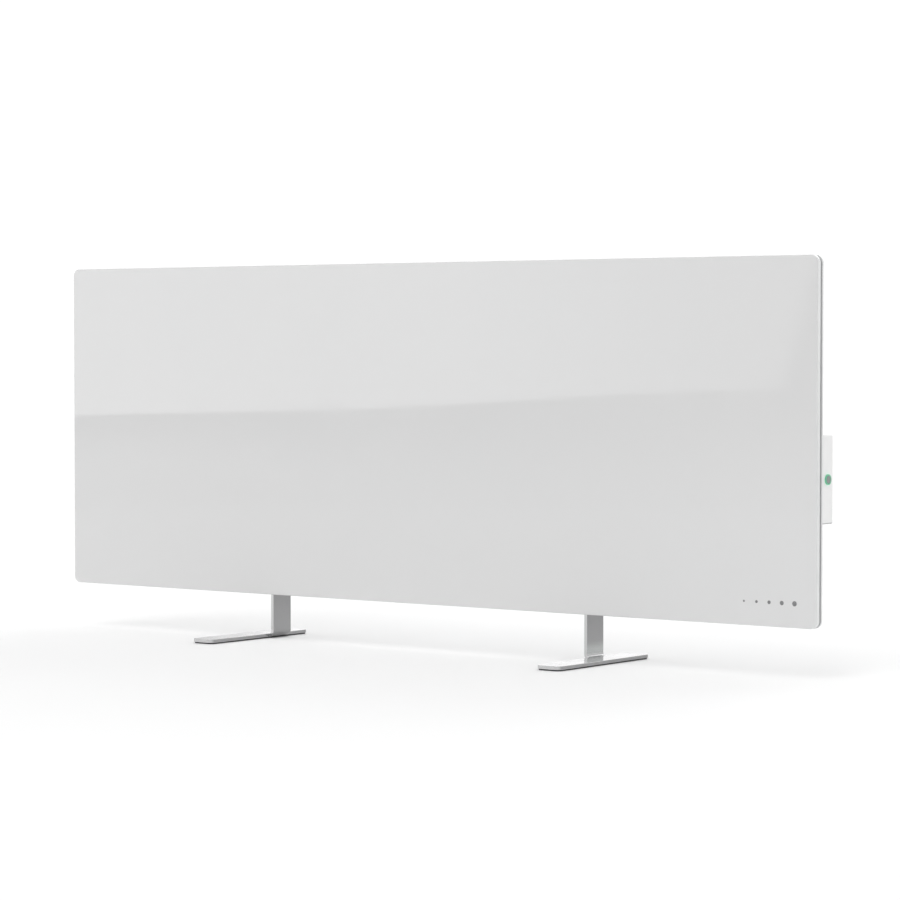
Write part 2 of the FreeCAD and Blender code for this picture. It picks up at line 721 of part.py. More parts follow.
def box_base():
    """Plate inside the cover, with bosses for the cover screws and standoffs for the board."""
    pieces = [cavity_sheet(BASE_CLEARANCE, base_front_y, base_rear_y)]
    pieces += [across(BOSS_RADIUS, point, base_front_y, boss_end_y) for point in cover_screw_points()]
    pieces += [across(STANDOFF_RADIUS, point, base_front_y, board_front_y) for point in board_screw_points()]
    plate = join(pieces)
    for point in cover_screw_points():
        pilot_y = boss_end_y - COVER_SCREW_ENGAGEMENT - PILOT_TIP_GAP
        plate = plate.cut(across(COVER_SCREW_RADIUS + THREAD_CLEARANCE, point, pilot_y, boss_end_y))
    for point in board_screw_points():
        pilot_y = board_front_y - BOARD_SCREW_ENGAGEMENT - BOARD_SCREW_TIP_GAP
        plate = plate.cut(across(BOARD_SCREW_RADIUS + THREAD_CLEARANCE, point, pilot_y, board_front_y))
    for point in pane_passages:
        plate = plate.cut(across(LEAD_RADIUS + BASE_HOLE_CLEARANCE, point, base_front_y, base_rear_y))
    return plate.cut(cutout_space(CUTOUT_CLEARANCE, base_front_y, base_rear_y))


def box_cover():
    """Shell of the control box, open towards the glass."""
    shell = upright_sheet(
        box_left, box_right, box_bottom, box_top, BOX_CORNER_RADIUS, back_y + BOX_RIM_GAP, box_rear_y
    )
    shell = shell.makeFillet(BOX_EDGE_ROUND, edges_at(shell, "Y", box_rear_y))
    shell = shell.cut(cavity_sheet(0, back_y + BOX_RIM_GAP, cavity_rear_y))
    pillars = [across(PILLAR_RADIUS, point, pillar_end_y, cavity_rear_y) for point in cover_screw_points()]
    shell = join([shell] + pillars)
    screw_hole_radius = COVER_SCREW_RADIUS + SCREW_HOLE_CLEARANCE
    for point in cover_screw_points():
        shell = shell.cut(across(COUNTERBORE_RADIUS, point, counterbore_y, box_rear_y))
        shell = shell.cut(across(screw_hole_radius, point, pillar_end_y, counterbore_y))
    ring_hole = bar(ring_radius() + RING_FIT, button_point(box_right), INWARD, BOX_WALL)
    gland_hole = bar(GLAND_THREAD_RADIUS + GLAND_HOLE_CLEARANCE, gland_point(box_bottom), UP, BOX_WALL)
    return shell.cut(ring_hole).cut(gland_hole)


def cross_slot(point, head_radius, rear_y):
    """Cross recess in a screw head."""
    reach = head_radius * SCREW_SLOT_SHARE
    half = SCREW_SLOT_WIDTH / 2
    x, z = point
    front = rear_y - SCREW_SLOT_DEPTH
    level = block(x - reach, x + reach, front, rear_y, z - half, z + half)
    return level.fuse(block(x - half, x + half, front, rear_y, z - reach, z + reach))


def small_screw(point, radius, head_radius, head_height, tip_y, seat_y):
    """Cross-head screw that points towards the glass."""
    head = across(head_radius, point, seat_y, seat_y + head_height)
    shank = across(radius, point, tip_y, seat_y)
    return join([head, shank]).cut(cross_slot(point, head_radius, seat_y + head_height))


def cover_screws():
    tip_y = boss_end_y - COVER_SCREW_ENGAGEMENT
    screws = []
    for point in cover_screw_points():
        screws.append(small_screw(
            point, COVER_SCREW_RADIUS, COVER_SCREW_HEAD_RADIUS, COVER_SCREW_HEAD_HEIGHT, tip_y, counterbore_y
        ))
    return Part.makeCompound(screws)


def board_screws():
    tip_y = board_front_y - BOARD_SCREW_ENGAGEMENT
    screws = []
    for point in board_screw_points():
        screws.append(small_screw(
            point, BOARD_SCREW_RADIUS, BOARD_SCREW_HEAD_RADIUS, BOARD_SCREW_HEAD_HEIGHT, tip_y, board_rear_y
        ))
    return Part.makeCompound(screws)


def cutout_lead_points():
    """Where the over-temperature switch's leads enter the board."""
    x = board_left + CUTOUT_LEAD_FROM_LEFT
    z = box_middle_z + CUTOUT_RISE
    return [(x, z - CUTOUT_LEAD_SPACING / 2), (x, z + CUTOUT_LEAD_SPACING / 2)]


def control_board():
    board = upright_sheet(
        board_left, board_right, board_bottom, board_top, BOARD_CORNER_RADIUS, board_front_y, board_rear_y
    )
    holes = [(point, BOARD_SCREW_RADIUS + SCREW_HOLE_CLEARANCE) for point in board_screw_points()]
    holes += [(point, LEAD_RADIUS + LEAD_FIT) for point in pane_passages]
    holes += [(point, CUTOUT_LEAD_RADIUS + LEAD_FIT) for point in cutout_lead_points()]
    for point, radius in holes:
        board = board.cut(across(radius, point, board_front_y, board_rear_y))
    return board


def on_board(place):
    """Point of the board from its left edge and its middle height."""
    return board_left + place[0], box_middle_z + place[1]


def board_piece(size, place, rise=0.0):
    """Block of the given size that stands on the board."""
    x, z = on_board(place)
    front = board_rear_y + rise
    return block(x - size[0] / 2, x + size[0] / 2, front, front + size[1], z - size[2] / 2, z + size[2] / 2)


def relay():
    body = board_piece(RELAY_SIZE, RELAY_PLACE)
    return body.makeFillet(RELAY_EDGE_ROUND, edges_at(body, "Y", board_rear_y + RELAY_SIZE[1]))


def clamp_places():
    return [(CLAMP_FROM_LEFT, side * CLAMP_SPACING / 2) for side in (LEFT, RIGHT)]


def mains_clamps():
    """Two screw clamps with a wire hole from the left and a screw hole from behind."""
    clamps = []
    middle_y = board_rear_y + CLAMP_SIZE[1] / 2
    top_y = board_rear_y + CLAMP_SIZE[1]
    screw_hole_radius = CLAMP_SCREW_RADIUS + THREAD_CLEARANCE
    for place in clamp_places():
        x, z = on_board(place)
        body = board_piece(CLAMP_SIZE, place)
        body = body.cut(bar(CLAMP_WIRE_RADIUS, Vector(x, middle_y, z), INWARD, CLAMP_SIZE[0] / 2))
        clamps.append(body.cut(across(screw_hole_radius, (x, z), top_y - CLAMP_SCREW_LENGTH, top_y)))
    return Part.makeCompound(clamps)


def clamp_screws():
    top_y = board_rear_y + CLAMP_SIZE[1]
    screws = []
    for place in clamp_places():
        point = on_board(place)
        body = across(CLAMP_SCREW_RADIUS, point, top_y - CLAMP_SCREW_LENGTH, top_y)
        screws.append(body.cut(cross_slot(point, CLAMP_SCREW_RADIUS, top_y)))
    return Part.makeCompound(screws)


def fuse_bar(radius):
    x, z = on_board(FUSE_PLACE)
    start = Vector(x - FUSE_LENGTH / 2, board_rear_y + FUSE_AXIS_RISE, z)
    return bar(radius, start, Vector(1, 0, 0), FUSE_LENGTH)


def fuse_clips():
    clips = []
    for side in (LEFT, RIGHT):
        offset = side * (FUSE_LENGTH / 2 - FUSE_CLIP_INSET)
        clip = board_piece(FUSE_CLIP_SIZE, (FUSE_PLACE[0] + offset, FUSE_PLACE[1]))
        clips.append(clip.cut(fuse_bar(FUSE_RADIUS + FUSE_FIT)))
    return Part.makeCompound(clips)


def varistor():
    disc = across(VARISTOR_RADIUS, on_board(VARISTOR_PLACE), board_rear_y, board_rear_y + VARISTOR_THICKNESS)
    return disc.makeFillet(VARISTOR_EDGE_ROUND, edges_at(disc, "Y", board_rear_y + VARISTOR_THICKNESS))


def transformer_core():
    """Core with two windows beside its middle leg, lifted by the winding's build."""
    window_height = CORE_SIZE[2] - 2 * CORE_YOKE
    window_width = WINDING_BUILD + 2 * WINDING_FIT
    offset = (CORE_LEG_WIDTH + window_width) / 2
    core = board_piece(CORE_SIZE, TRANSFORMER_PLACE, WINDING_BUILD)
    for side in (LEFT, RIGHT):
        place = (TRANSFORMER_PLACE[0] + side * offset, TRANSFORMER_PLACE[1])
        core = core.cut(board_piece((window_width, CORE_SIZE[1], window_height), place, WINDING_BUILD))
    return core


def transformer_winding():
    """Winding round the core's middle leg, standing on the board."""
    leg = (CORE_LEG_WIDTH + 2 * WINDING_FIT, CORE_SIZE[1] + 2 * WINDING_FIT)
    height = CORE_SIZE[2] - 2 * CORE_YOKE - 2 * WINDING_FIT
    outside = (leg[0] + 2 * WINDING_BUILD - 2 * WINDING_FIT, CORE_SIZE[1] + 2 * WINDING_BUILD, height)
    winding = board_piece(outside, TRANSFORMER_PLACE)
    return winding.cut(board_piece((leg[0], leg[1], height), TRANSFORMER_PLACE, WINDING_BUILD - WINDING_FIT))


def smoothing_capacitor():
    x, z = on_board(CAPACITOR_PLACE)
    low_z = z - CAPACITOR_LENGTH / 2
    can = bar(CAPACITOR_RADIUS, Vector(x, board_rear_y + CAPACITOR_RADIUS, low_z), UP, CAPACITOR_LENGTH)
    return can.makeFillet(CAPACITOR_EDGE_ROUND, edges_at(can, "Z", low_z + CAPACITOR_LENGTH))


def radio_shield():
    can = board_piece(SHIELD_SIZE, RADIO_PLACE, RADIO_SIZE[1])
    return can.makeFillet(SHIELD_EDGE_ROUND, edges_at(can, "Y", can.BoundBox.YMax))


def tilt_switch():
    """Can on the radio's line, midway between the radio and the board's right edge."""
    radio_x, radio_z = on_board(RADIO_PLACE)
    middle_x = (radio_x + RADIO_SIZE[0] / 2 + board_right) / 2
    return across(TILT_RADIUS, (middle_x, radio_z), board_rear_y, board_rear_y + TILT_HEIGHT)


def thermal_cutout():
    return cutout_space(0, back_y, back_y + CUTOUT_SIZE[1])


def bent_lead(start, corner, end, bend_radius, radius):
    """Round lead of two straight runs joined by a tangent arc."""
    way_in = (corner - start).normalize()
    way_out = (end - corner).normalize()
    arc_start = corner - way_in * bend_radius
    arc_end = corner + way_out * bend_radius
    centre = arc_start + way_out * bend_radius
    arc_middle = centre + (corner - centre).normalize() * bend_radius
    path = Part.Wire([
        Part.makeLine(start, arc_start),
        Part.Arc(arc_start, arc_middle, arc_end).toShape(),
        Part.makeLine(arc_end, end),
    ])
    profile = Part.Wire(Part.makeCircle(radius, start, way_in))
    return path.makePipeShell([profile], True, False)


def cutout_leads():
    """Leads that run under the board and turn up through it."""
    start_x = cavity_left + CUTOUT_FROM_LEFT + CUTOUT_SIZE[0] / 2
    lead_y = back_y + CUTOUT_SIZE[1] - CUTOUT_LEAD_RADIUS
    leads = []
    for x, z in cutout_lead_points():
        start = Vector(start_x, lead_y, z)
        end = Vector(x, board_rear_y + CUTOUT_LEAD_STAND_OUT, z)
        leads.append(bent_lead(start, Vector(x, lead_y, z), end, CUTOUT_LEAD_BEND, CUTOUT_LEAD_RADIUS))
    return Part.makeCompound(leads)


def button_point(x):
    """Point of the button's axis."""
    return Vector(x, button_y, box_middle_z)


def ring_bore_radius():
    return BUTTON_RADIUS + BUTTON_CLEARANCE


def ring_radius():
    return ring_bore_radius() + RING_WALL


def light_ring():
    face_x = box_right + RING_PROUD
    ring = bar(ring_radius(), button_point(face_x), INWARD, face_x - ring_end_x)
    return ring.cut(bar(ring_bore_radius(), button_point(face_x), INWARD, face_x - ring_end_x))


def button_cap():
    """Dished cap with the flange that stops it behind the ring and the stem that presses the switch."""
    face_x = box_right + BUTTON_PROUD
    flange_end_x = button_stop_x - BUTTON_FLANGE_THICKNESS
    cap = bar(BUTTON_RADIUS, button_point(face_x), INWARD, face_x - button_stop_x)
    cap = cap.makeFillet(BUTTON_EDGE_ROUND, edges_at(cap, "X", face_x))
    rim_radius = BUTTON_RADIUS - 2 * BUTTON_EDGE_ROUND
    dish_radius = (rim_radius ** 2 + BUTTON_DISH ** 2) / (2 * BUTTON_DISH)
    cap = cap.cut(Part.makeSphere(dish_radius, button_point(face_x + dish_radius - BUTTON_DISH)))
    flange = bar(BUTTON_FLANGE_RADIUS, button_point(button_stop_x), INWARD, BUTTON_FLANGE_THICKNESS)
    stem = bar(STEM_RADIUS, button_point(flange_end_x), INWARD, flange_end_x - plunger_tip_x)
    return join([cap, flange, stem])


def switch_plunger():
    return bar(PLUNGER_RADIUS, button_point(plunger_tip_x), INWARD, PLUNGER_REACH + PLUNGER_DEPTH)


def tact_switch():
    """Switch body on the board's right edge, with room for the plunger's travel."""
    half = SWITCH_SIZE / 2
    body = block(
        switch_face_x - SWITCH_LENGTH, switch_face_x, board_rear_y, button_y + half,
        box_middle_z - half, box_middle_z + half,
    )
    well_depth = PLUNGER_DEPTH + BUTTON_TRAVEL + PLUNGER_CLEARANCE
    return body.cut(bar(PLUNGER_RADIUS + PLUNGER_CLEARANCE, button_point(switch_face_x), INWARD, well_depth))


def ring_leds():
    leds = []
    for side in (LEFT, RIGHT):
        z = box_middle_z + side * LED_SPACING / 2
        leds.append(block(
            board_right - LED_SIZE[0], board_right, board_rear_y, board_rear_y + LED_SIZE[1],
            z - LED_SIZE[2] / 2, z + LED_SIZE[2] / 2,
        ))
    return Part.makeCompound(leds)


def gland_point(z):
    """Point of the mains inlet's axis."""
    return Vector(gland_x, gland_y, z)


def cord_gland():
    """Threaded bush through the box's lower wall, with the bore for the mains lead."""
    flange_bottom = box_bottom - GLAND_FLANGE_THICKNESS
    low_z = flange_bottom - GLAND_LOWER_LENGTH
    high_z = cavity_bottom + GLAND_NUT_THICKNESS + GLAND_THREAD_PAST_NUT
    body = join([
        bar(GLAND_LOWER_RADIUS, gland_point(low_z), UP, GLAND_LOWER_LENGTH),
        bar(GLAND_FLANGE_RADIUS, gland_point(flange_bottom), UP, GLAND_FLANGE_THICKNESS),
        bar(GLAND_THREAD_RADIUS, gland_point(box_bottom), UP, high_z - box_bottom),
    ])
    return body.cut(bar(GLAND_BORE_RADIUS, gland_point(low_z), UP, high_z - low_z))


def gland_nut():
    seat = gland_point(cavity_bottom)
    nut = hexagon_bar(GLAND_NUT_FLATS, seat, UP, GLAND_NUT_THICKNESS)
    return nut.cut(bar(GLAND_THREAD_RADIUS + THREAD_CLEARANCE, seat, UP, GLAND_NUT_THICKNESS))


def gland_cap():
    """Cap screwed over the bush's lower end, with a tapered nose round its mouth."""
    top_z = box_bottom - GLAND_FLANGE_THICKNESS - GLAND_CAP_GAP
    seat_z = box_bottom - GLAND_FLANGE_THICKNESS - GLAND_LOWER_LENGTH - GLAND_SEAL_THICKNESS
    low_z = seat_z - GLAND_CAP_FLOOR
    skirt_z = low_z + GLAND_CAP_NOSE_LENGTH
    skirt = bar(GLAND_CAP_RADIUS, gland_point(skirt_z), UP, top_z - skirt_z)
    nose = Part.makeCone(
        GLAND_CAP_NOSE_RADIUS, GLAND_CAP_RADIUS, GLAND_CAP_NOSE_LENGTH, gland_point(low_z), UP
    )
    cap = join([skirt, nose])
    cap = cap.cut(bar(GLAND_LOWER_RADIUS + GLAND_CAP_FIT, gland_point(seat_z), UP, top_z - seat_z))
    return cap.cut(bar(GLAND_MOUTH_RADIUS, gland_point(low_z), UP, GLAND_CAP_FLOOR))


def gland_seal():
    seat_z = box_bottom - GLAND_FLANGE_THICKNESS - GLAND_LOWER_LENGTH - GLAND_SEAL_THICKNESS
    ring = bar(GLAND_LOWER_RADIUS - GLAND_SEAL_FIT, gland_point(seat_z), UP, GLAND_SEAL_THICKNESS)
    return ring.cut(bar(GLAND_SEAL_BORE_RADIUS, gland_point(seat_z), UP, GLAND_SEAL_THICKNESS))


def write_nodes():
    nodes = {
        "front_glass": front_glass(),
        "rear_glass": rear_glass(),
        "perimeter_seal": perimeter_seal(),
        "heating_film": heating_film(),
        "heating_trace": heating_trace(),
        "trace_terminals": trace_terminals(),
        "cover_film": cover_film(),
        "insulation_sheet": insulation_sheet(),
        "reflector_foil": reflector_foil(),
        "heater_leads": heater_leads(),
        "lead_grommets": lead_grommets(),
        "surface_sensor": surface_sensor(),
        "block_bonds": block_bonds(),
        "foot_bolts": foot_bolts(),
        "foot_washers": foot_washers(),
        "box_tape": box_tape(),
        "box_base": box_base(),
        "box_cover": box_cover(),
        "cover_screws": cover_screws(),
        "control_board": control_board(),
        "board_screws": board_screws(),
        "relay": relay(),
        "mains_clamps": mains_clamps(),
        "clamp_screws": clamp_screws(),
        "fuse": fuse_bar(FUSE_RADIUS),
        "fuse_clips": fuse_clips(),
        "varistor": varistor(),
        "transformer_core": transformer_core(),
        "transformer_winding": transformer_winding(),
        "smoothing_capacitor": smoothing_capacitor(),
        "radio_board": board_piece(RADIO_SIZE, RADIO_PLACE),
        "radio_shield": radio_shield(),
        "tilt_switch": tilt_switch(),
        "tact_switch": tact_switch(),
        "switch_plunger": switch_plunger(),
        "ring_leds": ring_leds(),
        "light_ring": light_ring(),
        "button_cap": button_cap(),
        "thermal_cutout": thermal_cutout(),
        "cutout_leads": cutout_leads(),
        "cord_gland": cord_gland(),
        "gland_nut": gland_nut(),
        "gland_cap": gland_cap(),
        "gland_seal": gland_seal(),
    }
    for side, name in ((LEFT, "left"), (RIGHT, "right")):
        nodes["foot_" + name] = foot(side)
        nodes["foot_pad_" + name] = foot_pad(side)
        nodes["block_lower_" + name] = fixing_block(side, lower_block_z)
        nodes["block_upper_" + name] = fixing_block(side, upper_block_z)
    os.makedirs("parts", exist_ok=True)
    for name, shape in nodes.items():
        shape.exportStep("parts/" + name + ".step")


write_nodes()
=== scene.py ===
import json
import math
import bpy
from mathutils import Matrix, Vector


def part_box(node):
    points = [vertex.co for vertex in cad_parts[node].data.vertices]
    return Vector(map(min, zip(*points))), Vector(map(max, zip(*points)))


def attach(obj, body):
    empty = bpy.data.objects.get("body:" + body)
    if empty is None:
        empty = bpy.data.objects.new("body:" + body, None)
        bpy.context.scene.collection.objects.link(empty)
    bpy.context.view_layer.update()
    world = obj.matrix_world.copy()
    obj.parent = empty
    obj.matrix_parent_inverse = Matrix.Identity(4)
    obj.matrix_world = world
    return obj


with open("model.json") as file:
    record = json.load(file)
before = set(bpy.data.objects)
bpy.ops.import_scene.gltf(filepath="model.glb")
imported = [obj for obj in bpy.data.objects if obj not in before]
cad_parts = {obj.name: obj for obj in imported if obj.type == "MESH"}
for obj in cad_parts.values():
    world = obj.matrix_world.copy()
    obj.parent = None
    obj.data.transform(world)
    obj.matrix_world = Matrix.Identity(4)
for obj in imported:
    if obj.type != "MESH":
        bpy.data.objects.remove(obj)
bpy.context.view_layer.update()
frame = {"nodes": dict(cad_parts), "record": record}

nodes = frame["nodes"]

# Camera, from the picture's own perspective
PICTURE_SIDE = 900
FOCAL_PIXELS = 3109.05
SENSOR_MM = 36.0
CAMERA_TURN = math.radians(37.47)
CAMERA_DIP = math.radians(1.94)
CAMERA_DISTANCE = 3.28531
CAMERA_REACH = 200.0
LOOK_AT_X = 0.05161
LOOK_AT_Z = 0.21597

# Floor and studio
FLOOR_RADIUS = 3.0
FLOOR_CORNERS = 96
FLOOR_DROP = 0.0002
DOME_TONE = 0.2
DOME_LOW = 0.85
DOME_EDGE_DROP = 0.6
BACKDROP_TONE = 1.06

# Wash of light towards the back: its strength, and the way's Y where it begins and is full
BACK_WASH = 0.5
WASH_BEGIN = -0.3
WASH_FULL = 0.5

# Soft lights on the dome: the way to each, the cosines where it begins and is full, and its strength
SOFT_LIGHTS = {
    "above_front": ((0, -0.6, 0.8), 0.9, 0.985, 2.44),
    "front": ((0, -0.8, 0.6), 0.9, 0.985, 0.39),
    "front_right": ((0.6, -0.6, 0.53), 0.9, 0.985, 0.47),
    "overhead": ((0, 0, 1), 0.92, 0.99, 1.12),
    "right_top": ((0.5, 0, 0.87), 0.9, 0.985, 0.44),
    "right_high": ((0.77, 0, 0.64), 0.9, 0.985, 0.39),
    "left_top": ((-0.5, 0, 0.87), 0.9, 0.985, 0.85),
    "mid_back": ((0, 0.8, 0.6), 0.9, 0.985, 0.87),
    "back_left": ((-0.2, 0.97, 0.1), 0.8526, 0.883, 0.86),
    "back_right": ((0.61, 0.79, 0.1), 0.75, 0.95, 0.6),
    "right": ((1, -0.2, 0.2), 0.5, 0.95, 0.2),
    "left": ((-1, 0, 0.3), 0.5, 0.95, 0.4),
}

# Long light panel that the glass reflects: slants are the way's X over its Y, rises are its Z
LIGHT_NEAR_SLANT = 0.979
LIGHT_FAR_SLANT = 0.602
LIGHT_NEAR_RISE = -0.0226
LIGHT_FAR_RISE = -0.0139
LIGHT_NEAR_FADE = 0.0012
LIGHT_FAR_FADE = 0.0014
LIGHT_BOW = 0.0018
LIGHT_BOW_SLANTS = (0.64, 0.809, 0.998)
LIGHT_NEAR_STRENGTH = 1.6
LIGHT_FAR_STRENGTH = 0.66
LIGHT_DIM_SLANT = 0.55
LIGHT_FULL_SLANT = 0.79
LOW_NEAR_FADE = 0.016
LOW_FAR_FADE = 0.036

# Far end of the light panel, which leans: its slants at two rises, and half the width of its fade
LIGHT_END_RISES = (-0.0049, 0.0264)
LIGHT_END_SLANTS = (0.6064, 0.5957)
LIGHT_END_FADE = 0.004

# Other limits of the light panel: the Y, Z and slant where it is gone and where it is full
LIGHT_FRONT_LIMITS = (-0.2, -0.3)
LIGHT_TOP_LIMITS = (0.35, 0.2)
LIGHT_SIDE_LIMITS = (2.2, 1.6)

# Printed dots on the glass
DOT_COUNT = 5
DOT_CORNERS = 40
DOT_SPACING = 0.0145
DOT_RADIUS_FIRST = 0.0011
DOT_RADIUS_LAST = 0.0026
DOT_THICKNESS = 0.00004
DOTS_FROM_EDGE = 0.083
DOTS_RISE = 0.024

# Grip ribs on the gland's cap
RIB_COUNT = 24
RIB_WIDTH = 0.0009
RIB_STANDS = 0.0004
RIB_SINK = 0.0002
RIB_END_GAP = 0.0006
CAP_NOSE = 0.004

# Shaded rim along the foot of the control box
RIM_HEIGHT = 0.002

# Heights between which the feet's uprights are painted brighter downwards, a painted reflection of the plates
# and floor
UPRIGHT_TOP = 0.055
UPRIGHT_LOW = 0.006

# Painted sheen above the bend of the right foot: heights where it begins, is full and ends, and its side
BEND_SHEEN_TOP = 0.022
BEND_SHEEN_LOW = 0.0085
BEND_SHEEN_END = 0.0068
BEND_SHEEN_SIDE = 0.1

# Painted glow on the box around the button's ring
GLOW_REACH = 0.0028
GLOW_CORE = 0.0052

# Distances from the ring's lamps at which the ring's own glow ends and is full
LAMP_GLOW_END = 0.007
LAMP_GLOW_FULL = 0.001

WHITE = (1, 1, 1, 1)
QUARTER_TURN = (math.radians(90), 0, 0)


# Node helpers

def add(tree, kind, inputs=None, **settings):
    """One node with its settings, and its inputs as plain values or as sockets to link."""
    node = tree.nodes.new(kind)
    for name, value in settings.items():
        setattr(node, name, value)
    for key, value in (inputs or {}).items():
        if isinstance(value, bpy.types.NodeSocket):
            tree.links.new(value, node.inputs[key])
        else:
            node.inputs[key].default_value = value
    return node


def mix_colour(tree, share, first, second):
    return add(tree, "ShaderNodeMix", {0: share, 6: first, 7: second}, data_type="RGBA").outputs[2]


def mix_value(tree, share, first, second):
    return add(tree, "ShaderNodeMix", {0: share, 2: first, 3: second}, data_type="FLOAT").outputs[0]


def calculate(tree, operation, first, second=0.0):
    return add(tree, "ShaderNodeMath", {0: first, 1: second}, operation=operation).outputs[0]


def ramp(tree, value, start, end, low=0.0, high=1.0):
    """Smooth step of a value between two ends."""
    ends = {"Value": value, "From Min": start, "From Max": end, "To Min": low, "To Max": high}
    return add(tree, "ShaderNodeMapRange", ends, interpolation_type="SMOOTHSTEP").outputs["Result"]


def spread(tree, value, start, end, low, high):
    """Straight scaling of a value, past its ends too."""
    ends = {"Value": value, "From Min": start, "From Max": end, "To Min": low, "To Max": high}
    return add(tree, "ShaderNodeMapRange", ends, clamp=False).outputs["Result"]


def object_place(tree):
    return add(tree, "ShaderNodeTexCoord").outputs["Object"]


def facing(tree, axis):
    """How squarely the surface faces along one axis, from 0 to 1."""
    normal = add(tree, "ShaderNodeTexCoord").outputs["Normal"]
    return calculate(tree, "ABSOLUTE", add(tree, "ShaderNodeSeparateXYZ", {0: normal}).outputs[axis])


def distance_from(tree, point):
    place = object_place(tree)
    return add(tree, "ShaderNodeVectorMath", {0: place, 1: point}, operation="DISTANCE").outputs["Value"]


def new_effect(name, inputs, outputs):
    """Empty shader group with named inputs and outputs."""
    group = bpy.data.node_groups.new(name, "ShaderNodeTree")
    for label, kind, value in inputs:
        group.interface.new_socket(label, in_out="INPUT", socket_type=kind).default_value = value
    for label, kind in outputs:
        group.interface.new_socket(label, in_out="OUTPUT", socket_type=kind)
    given = group.nodes.new("NodeGroupInput").outputs
    result = group.nodes.new("NodeGroupOutput").inputs
    return group, given, result


def use_effect(tree, group, **values):
    """Places a group in a material with its own values."""
    node = add(tree, "ShaderNodeGroup", node_tree=group)
    for label, value in values.items():
        socket = node.inputs[label.replace("_", " ").capitalize()]
        if isinstance(value, bpy.types.NodeSocket):
            tree.links.new(value, socket)
        else:
            socket.default_value = value
    return node.outputs


# Effects that several finishes share

def make_tone_drift():
    """Slow drift of colour and roughness over a surface."""
    group, given, result = new_effect(
        "tone_drift",
        [
            ("Colour", "NodeSocketColor", WHITE),
            ("Drifted", "NodeSocketColor", WHITE),
            ("Smooth", "NodeSocketFloat", 0.3),
            ("Rough", "NodeSocketFloat", 0.4),
            ("Scale", "NodeSocketFloat", 10.0),
        ],
        [("Colour", "NodeSocketColor"), ("Roughness", "NodeSocketFloat")],
    )
    noise = add(group, "ShaderNodeTexNoise",
                {"Vector": object_place(group), "Scale": given["Scale"], "Detail": 4.0})
    share = ramp(group, noise.outputs["Fac"], 0.3, 0.7)
    group.links.new(mix_colour(group, share, given["Colour"], given["Drifted"]), result["Colour"])
    group.links.new(mix_value(group, share, given["Smooth"], given["Rough"]), result["Roughness"])
    return group


def make_fine_grain():
    """Fine relief, drawn out along an axis by a small stretch value there."""
    group, given, result = new_effect(
        "fine_grain",
        [("Stretch", "NodeSocketVector", (1, 1, 1)), ("Scale", "NodeSocketFloat", 1000.0)],
        [("Height", "NodeSocketFloat")],
    )
    place = object_place(group)
    drawn = add(group, "ShaderNodeVectorMath", {0: place, 1: given["Stretch"]}, operation="MULTIPLY")
    noise = add(group, "ShaderNodeTexNoise",
                {"Vector": drawn.outputs["Vector"], "Scale": given["Scale"], "Detail": 2.0})
    group.links.new(noise.outputs["Fac"], result["Height"])
    return group


def make_settled_dust():
    """Faint dust on what faces up."""
    group, given, result = new_effect(
        "settled_dust",
        [("Amount", "NodeSocketFloat", 0.1), ("Scale", "NodeSocketFloat", 120.0)],
        [("Mask", "NodeSocketFloat")],
    )
    normal = add(group, "ShaderNodeTexCoord").outputs["Normal"]
    upward = ramp(group, add(group, "ShaderNodeSeparateXYZ", {0: normal}).outputs["Z"], 0.4, 0.9)
    noise = add(group, "ShaderNodeTexNoise",
                {"Vector": object_place(group), "Scale": given["Scale"], "Detail": 5.0})
    specks = ramp(group, noise.outputs["Fac"], 0.42, 0.68)
    settled = calculate(group, "MULTIPLY", upward, specks)
    group.links.new(calculate(group, "MULTIPLY", settled, given["Amount"]), result["Mask"])
    return group


def make_hand_smudges():
    """Soft blotches left by handling."""
    group, given, result = new_effect(
        "hand_smudges",
        [("Amount", "NodeSocketFloat", 0.05), ("Scale", "NodeSocketFloat", 14.0)],
        [("Mask", "NodeSocketFloat")],
    )
    noise = add(group, "ShaderNodeTexNoise",
                {"Vector": object_place(group), "Scale": given["Scale"], "Detail": 3.0, "Distortion": 0.6})
    blotches = ramp(group, noise.outputs["Fac"], 0.52, 0.72)
    group.links.new(calculate(group, "MULTIPLY", blotches, given["Amount"]), result["Mask"])
    return group


tone_drift = make_tone_drift()
fine_grain = make_fine_grain()
settled_dust = make_settled_dust()
hand_smudges = make_hand_smudges()

DUST_COLOUR = (0.72, 0.71, 0.69, 1)
DUST_ROUGH = 0.9
METAL_DUST_ROUGH = 0.8


# Finishes

def new_finish(name):
    finish = bpy.data.materials.new(name)
    finish.use_nodes = True
    tree = finish.node_tree
    tree.nodes.clear()
    shader = add(tree, "ShaderNodeBsdfPrincipled")
    add(tree, "ShaderNodeOutputMaterial", {"Surface": shader.outputs["BSDF"]})
    return finish, tree, shader


def set_relief(tree, shader, height, depth):
    bump = add(tree, "ShaderNodeBump", {"Strength": 1.0, "Distance": depth, "Height": height})
    tree.links.new(bump.outputs["Normal"], shader.inputs["Normal"])


def plain_finish(name, colour, drifted, smooth, rough, scale, grain, depth,
                 metallic=0.0, stretch=(1, 1, 1), dust=0.0):
    """Finish with drifting tone, fine grain and, where it lies open, a little dust."""
    finish, tree, shader = new_finish(name)
    tone = use_effect(tree, tone_drift, colour=colour, drifted=drifted,
                      smooth=smooth, rough=rough, scale=scale)
    top_colour = tone["Colour"]
    top_rough = tone["Roughness"]
    if dust:
        mask = use_effect(tree, settled_dust, amount=dust)["Mask"]
        top_colour = mix_colour(tree, mask, top_colour, DUST_COLOUR)
        top_rough = mix_value(tree, mask, top_rough, DUST_ROUGH)
    tree.links.new(top_colour, shader.inputs["Base Color"])
    tree.links.new(top_rough, shader.inputs["Roughness"])
    shader.inputs["Metallic"].default_value = metallic
    set_relief(tree, shader, use_effect(tree, fine_grain, stretch=stretch, scale=grain)["Height"], depth)
    return finish


